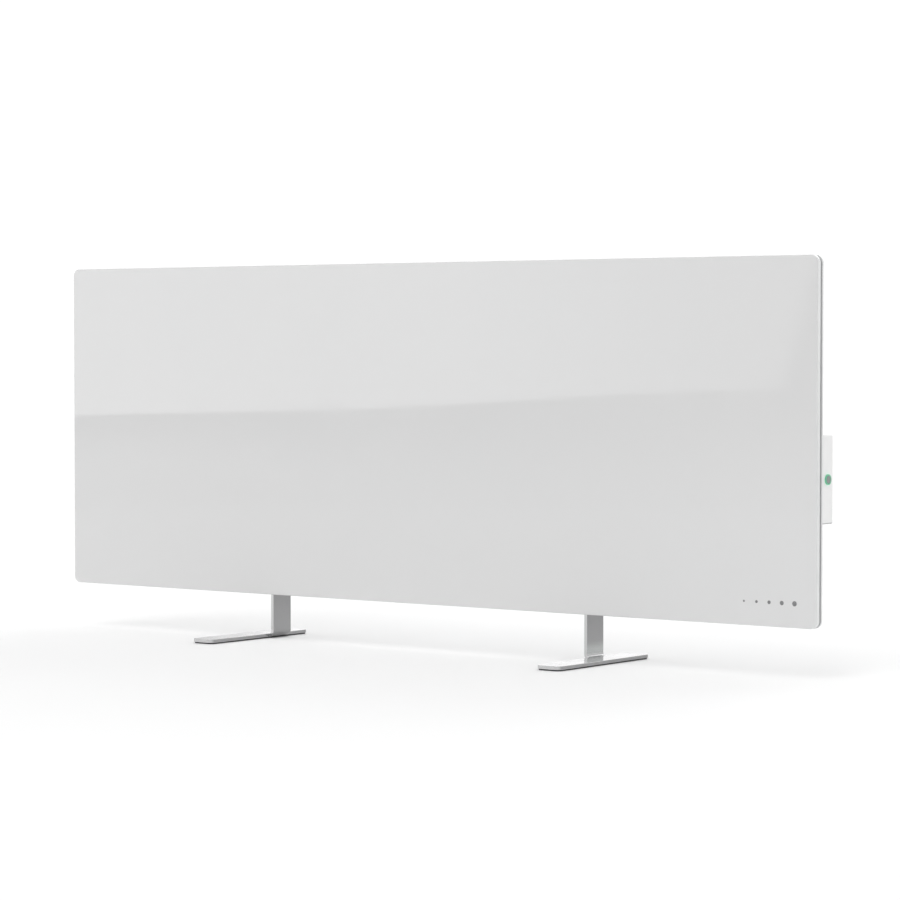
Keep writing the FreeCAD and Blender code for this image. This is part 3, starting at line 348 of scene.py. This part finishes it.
def white_glass(name, colour, drifted):
    """Pale enamel behind polished glass, with ground and polished edges."""
    finish, tree, shader = new_finish(name)
    broad = ramp(tree, facing(tree, "Y"), 0.6, 0.9)
    enamel = use_effect(tree, tone_drift, colour=colour, drifted=drifted, smooth=0.01, rough=0.02, scale=3.0)
    edge = use_effect(tree, tone_drift, colour=(0.76, 0.768, 0.766, 1), drifted=(0.72, 0.732, 0.729, 1),
                      smooth=0.1, rough=0.2, scale=90.0)
    smudge = use_effect(tree, hand_smudges, amount=0.03)["Mask"]
    face_rough = calculate(tree, "ADD", enamel["Roughness"], smudge)
    tree.links.new(mix_colour(tree, broad, edge["Colour"], enamel["Colour"]), shader.inputs["Base Color"])
    tree.links.new(mix_value(tree, broad, edge["Roughness"], face_rough), shader.inputs["Roughness"])
    shader.inputs["IOR"].default_value = 1.52
    set_relief(tree, shader, use_effect(tree, fine_grain, scale=5.0)["Height"], 0.000008)
    return finish


def satin_metal():
    """Satin anodised sheet with fine lines along the plates and up the uprights.

    Painted light: faces turned along Y and level faces are painted lighter, the uprights are painted
    brighter downwards, and the right one has a painted sheen above its bend.
    """
    finish, tree, shader = new_finish("foot_metal")
    tone = use_effect(tree, tone_drift, colour=(0.265, 0.265, 0.268, 1), drifted=(0.25, 0.25, 0.253, 1),
                      smooth=0.13, rough=0.18, scale=30.0)
    place = add(tree, "ShaderNodeSeparateXYZ", {0: object_place(tree)}).outputs
    # Painted reflection: the uprights are painted brighter towards the bottom
    painted_low_reflection = ramp(tree, place["Z"], UPRIGHT_TOP, UPRIGHT_LOW)
    sheet = mix_colour(tree, painted_low_reflection, tone["Colour"], (0.345, 0.345, 0.348, 1))
    # Painted sheen: a lighter band above the right foot's bend stands in for reflected light
    by_bend = ramp(tree, place["Z"], BEND_SHEEN_TOP, BEND_SHEEN_LOW)
    over_bend = ramp(tree, place["Z"], BEND_SHEEN_END, BEND_SHEEN_LOW)
    on_right = ramp(tree, place["X"], -BEND_SHEEN_SIDE, BEND_SHEEN_SIDE)
    sheen = calculate(tree, "MULTIPLY", calculate(tree, "MULTIPLY", by_bend, over_bend), on_right)
    sheet = mix_colour(tree, sheen, sheet, (0.51, 0.527, 0.522, 1))
    # Painted highlight: faces turned along Y, the ends and edges of the sheet, are painted lighter
    painted_y_highlight = ramp(tree, facing(tree, "Y"), 0.3, 0.8)
    sheet = mix_colour(tree, painted_y_highlight, sheet, (0.6, 0.6, 0.603, 1))
    # Painted light: level faces, the plate tops, are painted lighter; the same mask turns the fine lines
    # along the plates
    level_light_and_grain = ramp(tree, facing(tree, "Z"), 0.5, 0.8)
    sheet = mix_colour(tree, level_light_and_grain, sheet, (0.485, 0.485, 0.489, 1))
    dust = use_effect(tree, settled_dust, amount=0.06)["Mask"]
    tree.links.new(mix_colour(tree, dust, sheet, DUST_COLOUR), shader.inputs["Base Color"])
    tree.links.new(mix_value(tree, dust, tone["Roughness"], METAL_DUST_ROUGH), shader.inputs["Roughness"])
    shader.inputs["Metallic"].default_value = 1.0
    shader.inputs["Specular Tint"].default_value = (0.78, 0.78, 0.78, 1)
    along = use_effect(tree, fine_grain, stretch=(1, 0.02, 1), scale=3000.0)["Height"]
    upward = use_effect(tree, fine_grain, stretch=(1, 1, 0.02), scale=3000.0)["Height"]
    set_relief(tree, shader, mix_value(tree, level_light_and_grain, upward, along), 0.000004)
    return finish


def box_plastic(ring_centre):
    """White moulded shell with painted shade on its rear face and along its foot, and a painted green glow
    around the ring.
    """
    finish, tree, shader = new_finish("box_plastic")
    tone = use_effect(tree, tone_drift, colour=(0.84, 0.84, 0.838, 1), drifted=(0.815, 0.816, 0.815, 1),
                      smooth=0.42, rough=0.52, scale=25.0)
    dust = use_effect(tree, settled_dust, amount=0.08)["Mask"]
    height = add(tree, "ShaderNodeSeparateXYZ", {0: object_place(tree)}).outputs["Z"]
    box_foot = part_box("box_cover")[0].z
    rim = ramp(tree, height, box_foot + RIM_HEIGHT, box_foot)
    # Painted shade: the rear face is painted greyer
    rear = ramp(tree, facing(tree, "Y"), 0.6, 0.9)
    shell = mix_colour(tree, rear, tone["Colour"], (0.66, 0.66, 0.659, 1))
    shell = mix_colour(tree, rim, shell, (0.3, 0.3, 0.3, 1))
    tree.links.new(mix_colour(tree, dust, shell, DUST_COLOUR), shader.inputs["Base Color"])
    tree.links.new(mix_value(tree, dust, tone["Roughness"], DUST_ROUGH), shader.inputs["Roughness"])
    # Painted glow: an emission tint on the box shell near the ring stands in for the ring's light falling on
    # it
    painted_glow_mask = ramp(tree, distance_from(tree, ring_centre), GLOW_CORE + GLOW_REACH, GLOW_CORE)
    glow = mix_colour(tree, painted_glow_mask, (0, 0, 0, 1), (0.1, 0.6, 0.3, 1))
    tree.links.new(glow, shader.inputs["Emission Color"])
    shader.inputs["Emission Strength"].default_value = 0.2
    set_relief(tree, shader, use_effect(tree, fine_grain, scale=2200.0)["Height"], 0.00001)
    return finish


def ring_light(ring_centre, lamp_offset):
    """Translucent ring, brightest over the two lamps behind it."""
    finish, tree, shader = new_finish("ring_light")
    tone = use_effect(tree, tone_drift, colour=(0.17, 0.45, 0.3, 1), drifted=(0.14, 0.39, 0.26, 1),
                      smooth=0.2, rough=0.3, scale=300.0)
    tree.links.new(tone["Colour"], shader.inputs["Base Color"])
    tree.links.new(tone["Roughness"], shader.inputs["Roughness"])
    upper = distance_from(tree, ring_centre + Vector((0, 0, lamp_offset)))
    lower = distance_from(tree, ring_centre - Vector((0, 0, lamp_offset)))
    near = ramp(tree, calculate(tree, "MINIMUM", upper, lower), LAMP_GLOW_END, LAMP_GLOW_FULL)
    glow = mix_colour(tree, near, (0.03, 0.32, 0.14, 1), (0.08, 0.5, 0.24, 1))
    tree.links.new(glow, shader.inputs["Emission Color"])
    shader.inputs["Emission Strength"].default_value = 0.3
    set_relief(tree, shader, use_effect(tree, fine_grain, scale=1500.0)["Height"], 0.000006)
    return finish


def wound_copper():
    """Lacquered wire, laid in turns."""
    finish, tree, shader = new_finish("wound_copper")
    turns = add(tree, "ShaderNodeTexWave",
                {"Vector": object_place(tree), "Scale": 320.0}, bands_direction="Z")
    tone = use_effect(tree, tone_drift, colour=(0.72, 0.33, 0.15, 1), drifted=(0.6, 0.25, 0.11, 1),
                      smooth=0.25, rough=0.4, scale=200.0)
    tree.links.new(tone["Colour"], shader.inputs["Base Color"])
    tree.links.new(tone["Roughness"], shader.inputs["Roughness"])
    shader.inputs["Metallic"].default_value = 1.0
    set_relief(tree, shader, turns.outputs["Fac"], 0.00012)
    return finish


def green_board():
    """Lacquered board with raised tracks under the lacquer."""
    finish, tree, shader = new_finish("board")
    laid = add(tree, "ShaderNodeMapping", {"Vector": object_place(tree), "Rotation": QUARTER_TURN})
    tracks = add(tree, "ShaderNodeTexBrick", {
        "Vector": laid.outputs["Vector"],
        "Color1": (0.03, 0.2, 0.1, 1),
        "Color2": (0.025, 0.17, 0.085, 1),
        "Mortar": (0.07, 0.32, 0.17, 1),
        "Scale": 130.0,
        "Mortar Size": 0.03,
    })
    rough = use_effect(tree, tone_drift, smooth=0.25, rough=0.4, scale=80.0)["Roughness"]
    tree.links.new(tracks.outputs["Color"], shader.inputs["Base Color"])
    tree.links.new(rough, shader.inputs["Roughness"])
    set_relief(tree, shader, tracks.outputs["Fac"], 0.00003)
    return finish


def clear_glass():
    """Clear tube of the fuse."""
    finish, tree, shader = new_finish("fuse_glass")
    tone = use_effect(tree, tone_drift, colour=(0.93, 0.96, 0.95, 1), drifted=(0.88, 0.92, 0.91, 1),
                      smooth=0.03, rough=0.08, scale=200.0)
    tree.links.new(tone["Colour"], shader.inputs["Base Color"])
    tree.links.new(tone["Roughness"], shader.inputs["Roughness"])
    shader.inputs["Transmission Weight"].default_value = 0.9
    set_relief(tree, shader, use_effect(tree, fine_grain, scale=400.0)["Height"], 0.000004)
    return finish


def printed_ink():
    return plain_finish("printed_ink", colour=(0.2, 0.2, 0.205, 1), drifted=(0.25, 0.25, 0.255, 1),
                        smooth=0.3, rough=0.42, scale=600.0, grain=4000.0, depth=0.000004)


PLAIN_FINISHES = {
    "seal_rubber": dict(
        colour=(0.43, 0.435, 0.44, 1), drifted=(0.37, 0.375, 0.38, 1),
        smooth=0.55, rough=0.7, scale=40.0, grain=1800.0, depth=0.00002,
    ),
    "clear_film": dict(
        colour=(0.72, 0.66, 0.5, 1), drifted=(0.68, 0.61, 0.45, 1),
        smooth=0.25, rough=0.4, scale=12.0, grain=300.0, depth=0.00001,
    ),
    "foil_metal": dict(
        colour=(0.82, 0.82, 0.83, 1), drifted=(0.74, 0.74, 0.75, 1),
        smooth=0.22, rough=0.38, scale=40.0, grain=260.0, depth=0.00006, metallic=1.0,
    ),
    "copper": dict(
        colour=(0.86, 0.5, 0.32, 1), drifted=(0.74, 0.4, 0.25, 1),
        smooth=0.2, rough=0.35, scale=150.0, grain=2500.0, depth=0.000004, metallic=1.0,
    ),
    "insulation": dict(
        colour=(0.84, 0.82, 0.76, 1), drifted=(0.78, 0.75, 0.68, 1),
        smooth=0.85, rough=0.95, scale=60.0, grain=1200.0, depth=0.0001, stretch=(0.3, 1, 1),
    ),
    "lead_sleeve": dict(
        colour=(0.62, 0.1, 0.07, 1), drifted=(0.52, 0.08, 0.06, 1),
        smooth=0.4, rough=0.55, scale=200.0, grain=2500.0, depth=0.00001,
    ),
    "component_dark": dict(
        colour=(0.045, 0.046, 0.05, 1), drifted=(0.03, 0.031, 0.034, 1),
        smooth=0.4, rough=0.55, scale=150.0, grain=3000.0, depth=0.00001,
    ),
    "component_green": dict(
        colour=(0.1, 0.36, 0.18, 1), drifted=(0.08, 0.3, 0.15, 1),
        smooth=0.35, rough=0.5, scale=150.0, grain=2500.0, depth=0.00001,
    ),
    "component_blue": dict(
        colour=(0.05, 0.16, 0.5, 1), drifted=(0.04, 0.13, 0.42, 1),
        smooth=0.15, rough=0.28, scale=250.0, grain=900.0, depth=0.00002,
    ),
    "block_metal": dict(
        colour=(0.74, 0.745, 0.75, 1), drifted=(0.66, 0.665, 0.67, 1),
        smooth=0.3, rough=0.42, scale=60.0, grain=1600.0, depth=0.00001, metallic=1.0, stretch=(0.03, 1, 1),
    ),
    "bond": dict(
        colour=(0.2, 0.2, 0.205, 1), drifted=(0.15, 0.15, 0.155, 1),
        smooth=0.75, rough=0.9, scale=90.0, grain=2200.0, depth=0.00005,
    ),
    "pad_rubber": dict(
        colour=(0.05, 0.05, 0.052, 1), drifted=(0.035, 0.035, 0.037, 1),
        smooth=0.6, rough=0.8, scale=60.0, grain=2600.0, depth=0.00003,
    ),
    "fastener_steel": dict(
        colour=(0.68, 0.69, 0.71, 1), drifted=(0.56, 0.57, 0.58, 1),
        smooth=0.22, rough=0.38, scale=180.0, grain=2400.0, depth=0.000006, metallic=1.0, dust=0.05,
    ),
    "inner_plastic": dict(
        colour=(0.66, 0.66, 0.65, 1), drifted=(0.6, 0.6, 0.59, 1),
        smooth=0.45, rough=0.6, scale=40.0, grain=2200.0, depth=0.00001,
    ),
    "button_plastic": dict(
        colour=(0.225, 0.262, 0.245, 1), drifted=(0.2, 0.236, 0.22, 1),
        smooth=0.28, rough=0.38, scale=250.0, grain=3000.0, depth=0.000006,
    ),
    "gland_plastic": dict(
        colour=(0.8, 0.8, 0.795, 1), drifted=(0.76, 0.76, 0.755, 1),
        smooth=0.42, rough=0.55, scale=90.0, grain=2400.0, depth=0.00001, dust=0.08,
    ),
}


def make_finishes():
    ring_low, ring_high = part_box("light_ring")
    ring_centre = Vector((ring_high.x, (ring_low.y + ring_high.y) / 2, (ring_low.z + ring_high.z) / 2))
    lamp_low, lamp_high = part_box("ring_leds")
    lamp_offset = (lamp_high.z - lamp_low.z) / 2
    finishes = {name: plain_finish(name, **values) for name, values in PLAIN_FINISHES.items()}
    finishes["white_glass"] = white_glass("white_glass", (0.745, 0.745, 0.745, 1), (0.737, 0.739, 0.74, 1))
    finishes["foot_metal"] = satin_metal()
    finishes["box_plastic"] = box_plastic(ring_centre)
    finishes["ring_light"] = ring_light(ring_centre, lamp_offset)
    finishes["board"] = green_board()
    finishes["fuse_glass"] = clear_glass()
    return finishes


def dress_nodes(finishes):
    """Gives each CAD node the finish of its slot, and the winding its own; the rear pane gets a greyer copy
    of the white glass, painted shade.
    """
    for part in frame["record"]["subparts"]:
        nodes[part["node"]].material_slots[0].material = finishes[part["material_slot"]]
    nodes["transformer_winding"].material_slots[0].material = wound_copper()
    # Painted shade: the rear pane is a greyer copy of the white glass
    rear_glass = white_glass("rear_glass_painted_shade", (0.6, 0.603, 0.606, 1), (0.58, 0.584, 0.588, 1))
    nodes["rear_glass"].material_slots[0].material = rear_glass


# Pieces that repeat

def new_tree(name, inputs):
    """Empty geometry tree with named size inputs and one geometry output."""
    tree = bpy.data.node_groups.new(name, "GeometryNodeTree")
    for label, kind in inputs:
        tree.interface.new_socket(label, in_out="INPUT", socket_type=kind)
    tree.interface.new_socket("Geometry", in_out="OUTPUT", socket_type="NodeSocketGeometry")
    given = tree.nodes.new("NodeGroupInput").outputs
    result = tree.nodes.new("NodeGroupOutput").inputs
    return tree, given, result


def made_piece(name, tree, sizes):
    """Runs a geometry tree with its sizes, and keeps the result as a plain mesh at the origin."""
    maker = bpy.data.objects.new(name + "_maker", bpy.data.meshes.new(name + "_maker"))
    bpy.context.scene.collection.objects.link(maker)
    modifier = maker.modifiers.new(name, "NODES")
    modifier.node_group = tree
    for item in tree.interface.items_tree:
        if item.in_out == "INPUT":
            modifier[item.identifier] = sizes[item.name]
    graph = bpy.context.evaluated_depsgraph_get()
    mesh = bpy.data.meshes.new_from_object(maker.evaluated_get(graph), depsgraph=graph)
    mesh.name = name
    bpy.data.objects.remove(maker)
    piece = bpy.data.objects.new(name, mesh)
    bpy.context.scene.collection.objects.link(piece)
    return piece


def close_tree(tree, geometry, finish, result):
    """Makes the repeats real, gives them their finish and ends the tree with them."""
    real = add(tree, "GeometryNodeRealizeInstances", {"Geometry": geometry}).outputs["Geometry"]
    done = add(tree, "GeometryNodeSetMaterial", {"Geometry": real, "Material": finish}).outputs["Geometry"]
    tree.links.new(done, result["Geometry"])


def printed_dots(finish):
    """Row of dots that grow to the right, printed low at the right of the front glass."""
    tree, given, result = new_tree("printed_dots", [
        ("Count", "NodeSocketInt"),
        ("Spacing", "NodeSocketFloat"),
        ("First radius", "NodeSocketFloat"),
        ("Last radius", "NodeSocketFloat"),
        ("Thickness", "NodeSocketFloat"),
        ("Start", "NodeSocketVector"),
    ])
    step = add(tree, "ShaderNodeCombineXYZ", {"X": given["Spacing"]}).outputs["Vector"]
    row = add(tree, "GeometryNodeMeshLine",
              {"Count": given["Count"], "Start Location": given["Start"], "Offset": step}).outputs["Mesh"]
    dot = add(tree, "GeometryNodeMeshCylinder",
              {"Vertices": DOT_CORNERS, "Radius": 1.0, "Depth": given["Thickness"]})
    upright = add(tree, "GeometryNodeTransform",
                  {"Geometry": dot.outputs["Mesh"], "Rotation": QUARTER_TURN}).outputs["Geometry"]
    index = add(tree, "GeometryNodeInputIndex").outputs["Index"]
    last = calculate(tree, "SUBTRACT", given["Count"], 1.0)
    share = calculate(tree, "DIVIDE", index, last)
    radius = mix_value(tree, share, given["First radius"], given["Last radius"])
    size = add(tree, "ShaderNodeCombineXYZ", {"X": radius, "Y": 1.0, "Z": radius}).outputs["Vector"]
    placed = add(tree, "GeometryNodeInstanceOnPoints", {"Points": row, "Instance": upright, "Scale": size})
    close_tree(tree, placed.outputs["Instances"], finish, result)
    low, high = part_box("front_glass")
    start = (high.x - DOTS_FROM_EDGE, low.y - DOT_THICKNESS / 2, low.z + DOTS_RISE)
    piece = made_piece("printed_dots", tree, {
        "Count": DOT_COUNT, "Spacing": DOT_SPACING, "First radius": DOT_RADIUS_FIRST,
        "Last radius": DOT_RADIUS_LAST, "Thickness": DOT_THICKNESS, "Start": start,
    })
    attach(piece, "heater")


def gland_ribs(finish):
    """Grip ribs around the gland's cap."""
    tree, given, result = new_tree("gland_ribs", [
        ("Count", "NodeSocketInt"),
        ("Radius", "NodeSocketFloat"),
        ("Width", "NodeSocketFloat"),
        ("Depth", "NodeSocketFloat"),
        ("Length", "NodeSocketFloat"),
        ("Middle", "NodeSocketVector"),
    ])
    ring = add(tree, "GeometryNodeMeshCircle",
               {"Vertices": given["Count"], "Radius": given["Radius"]}).outputs["Mesh"]
    size = add(tree, "ShaderNodeCombineXYZ",
               {"X": given["Depth"], "Y": given["Width"], "Z": given["Length"]}).outputs["Vector"]
    rib = add(tree, "GeometryNodeMeshCube", {"Size": size, "Vertices Z": 2}).outputs["Mesh"]
    position = add(tree, "GeometryNodeInputPosition").outputs["Position"]
    turn = add(tree, "FunctionNodeAlignRotationToVector", {"Vector": position}, axis="X").outputs["Rotation"]
    placed = add(tree, "GeometryNodeInstanceOnPoints", {"Points": ring, "Instance": rib, "Rotation": turn})
    moved = add(tree, "GeometryNodeTransform",
                {"Geometry": placed.outputs["Instances"], "Translation": given["Middle"]}).outputs["Geometry"]
    close_tree(tree, moved, finish, result)
    low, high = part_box("gland_cap")
    length = high.z - low.z - CAP_NOSE - 2 * RIB_END_GAP
    middle = ((low.x + high.x) / 2, (low.y + high.y) / 2, high.z - RIB_END_GAP - length / 2)
    radius = (high.x - low.x) / 2 + (RIB_STANDS - RIB_SINK) / 2
    piece = made_piece("gland_ribs", tree, {
        "Count": RIB_COUNT, "Radius": radius, "Width": RIB_WIDTH, "Depth": RIB_STANDS + RIB_SINK,
        "Length": length, "Middle": middle,
    })
    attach(piece, "heater")


# Floor, light and camera

def pale_floor():
    """Round floor, just under the foot pads."""
    mesh = bpy.data.meshes.new("floor")
    corners = []
    for corner in range(FLOOR_CORNERS):
        turn = math.tau * corner / FLOOR_CORNERS
        corners.append((FLOOR_RADIUS * math.cos(turn), FLOOR_RADIUS * math.sin(turn), -FLOOR_DROP))
    mesh.from_pydata(corners, [], [list(range(FLOOR_CORNERS))])
    floor = bpy.data.objects.new("floor", mesh)
    bpy.context.scene.collection.objects.link(floor)
    paint = plain_finish("floor_paint", colour=(0.9, 0.9, 0.9, 1), drifted=(0.892, 0.892, 0.892, 1),
                         smooth=0.85, rough=0.95, scale=1.5, grain=300.0, depth=0.00001)
    mesh.materials.append(paint)


def light_panel(tree, axes):
    """Long light panel low at the front left.

    Gives the share of a way that is above its edge, the tone below that edge, and the panel's own light.
    """
    slant = calculate(tree, "DIVIDE", axes["X"], axes["Y"])
    edge = spread(tree, slant, LIGHT_FAR_SLANT, LIGHT_NEAR_SLANT, LIGHT_FAR_RISE, LIGHT_NEAR_RISE)
    bow_start, bow_middle, bow_end = LIGHT_BOW_SLANTS
    bow = calculate(tree, "MULTIPLY", ramp(tree, slant, bow_start, bow_middle, 0.0, LIGHT_BOW),
                    ramp(tree, slant, bow_end, bow_middle))
    edge = calculate(tree, "SUBTRACT", edge, bow)
    near = ramp(tree, slant, LIGHT_FAR_SLANT, LIGHT_NEAR_SLANT)
    over = calculate(tree, "SUBTRACT", axes["Z"], edge)
    fade = mix_value(tree, near, LIGHT_FAR_FADE, LIGHT_NEAR_FADE)
    above = ramp(tree, calculate(tree, "DIVIDE", over, fade), -0.5, 0.5)
    low_fade = mix_value(tree, near, LOW_FAR_FADE, LOW_NEAR_FADE)
    close = ramp(tree, calculate(tree, "DIVIDE", over, low_fade), -1.0, 0.0)
    far_end = spread(tree, axes["Z"], *LIGHT_END_RISES, *LIGHT_END_SLANTS)
    share = ramp(tree, calculate(tree, "SUBTRACT", slant, far_end), -LIGHT_END_FADE, LIGHT_END_FADE)
    masks = (
        ramp(tree, axes["Y"], *LIGHT_FRONT_LIMITS),
        ramp(tree, axes["Z"], *LIGHT_TOP_LIMITS),
        ramp(tree, slant, *LIGHT_SIDE_LIMITS),
    )
    for mask in masks:
        share = calculate(tree, "MULTIPLY", share, mask)
    strength = ramp(tree, slant, LIGHT_DIM_SLANT, LIGHT_FULL_SLANT, LIGHT_FAR_STRENGTH, LIGHT_NEAR_STRENGTH)
    low_tone = mix_value(tree, close, DOME_LOW, DOME_LOW - DOME_EDGE_DROP)
    return above, low_tone, calculate(tree, "MULTIPLY", share, strength)


def studio_light():
    """Pale dome with soft lights on it, plain white where the camera sees it."""
    world = bpy.data.worlds.new("studio")
    world.use_nodes = True
    tree = world.node_tree
    tree.nodes.clear()
    way = add(tree, "ShaderNodeTexCoord").outputs["Generated"]
    axes = add(tree, "ShaderNodeSeparateXYZ", {0: way}).outputs
    above, low_tone, total = light_panel(tree, axes)
    dome = ramp(tree, axes["Y"], WASH_BEGIN, WASH_FULL, DOME_TONE, DOME_TONE + BACK_WASH)
    total = calculate(tree, "ADD", total, dome)
    for light_way, begin, full, strength in SOFT_LIGHTS.values():
        direction = Vector(light_way).normalized()
        cosine = add(tree, "ShaderNodeVectorMath", {0: way, 1: direction}, operation="DOT_PRODUCT")
        lobe = ramp(tree, cosine.outputs["Value"], begin, full, 0.0, strength)
        total = calculate(tree, "ADD", total, lobe)
    lit = mix_value(tree, above, low_tone, calculate(tree, "MAXIMUM", total, 0.0))
    seen = add(tree, "ShaderNodeLightPath").outputs["Is Camera Ray"]
    shown = mix_value(tree, seen, lit, BACKDROP_TONE)
    background = add(tree, "ShaderNodeBackground", {"Color": WHITE, "Strength": shown})
    add(tree, "ShaderNodeOutputWorld", {"Surface": background.outputs["Background"]})
    bpy.context.scene.world = world


def photo_camera():
    """Camera at the photograph's angle."""
    data = bpy.data.cameras.new("photo_camera")
    data.sensor_width = SENSOR_MM
    data.lens = SENSOR_MM * FOCAL_PIXELS / PICTURE_SIDE
    data.clip_end = CAMERA_REACH
    look = Vector((
        -math.sin(CAMERA_TURN) * math.cos(CAMERA_DIP),
        math.cos(CAMERA_TURN) * math.cos(CAMERA_DIP),
        -math.sin(CAMERA_DIP),
    ))
    target = Vector((LOOK_AT_X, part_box("front_glass")[0].y, LOOK_AT_Z))
    camera = bpy.data.objects.new("photo_camera", data)
    camera.location = target - look * CAMERA_DISTANCE
    camera.rotation_euler = look.to_track_quat("-Z", "Y").to_euler()
    bpy.context.scene.collection.objects.link(camera)
    bpy.context.scene.camera = camera


finishes = make_finishes()
dress_nodes(finishes)
printed_dots(printed_ink())
gland_ribs(finishes["gland_plastic"])
pale_floor()
studio_light()
photo_camera()
bpy.context.scene.view_settings.view_transform = "Standard"
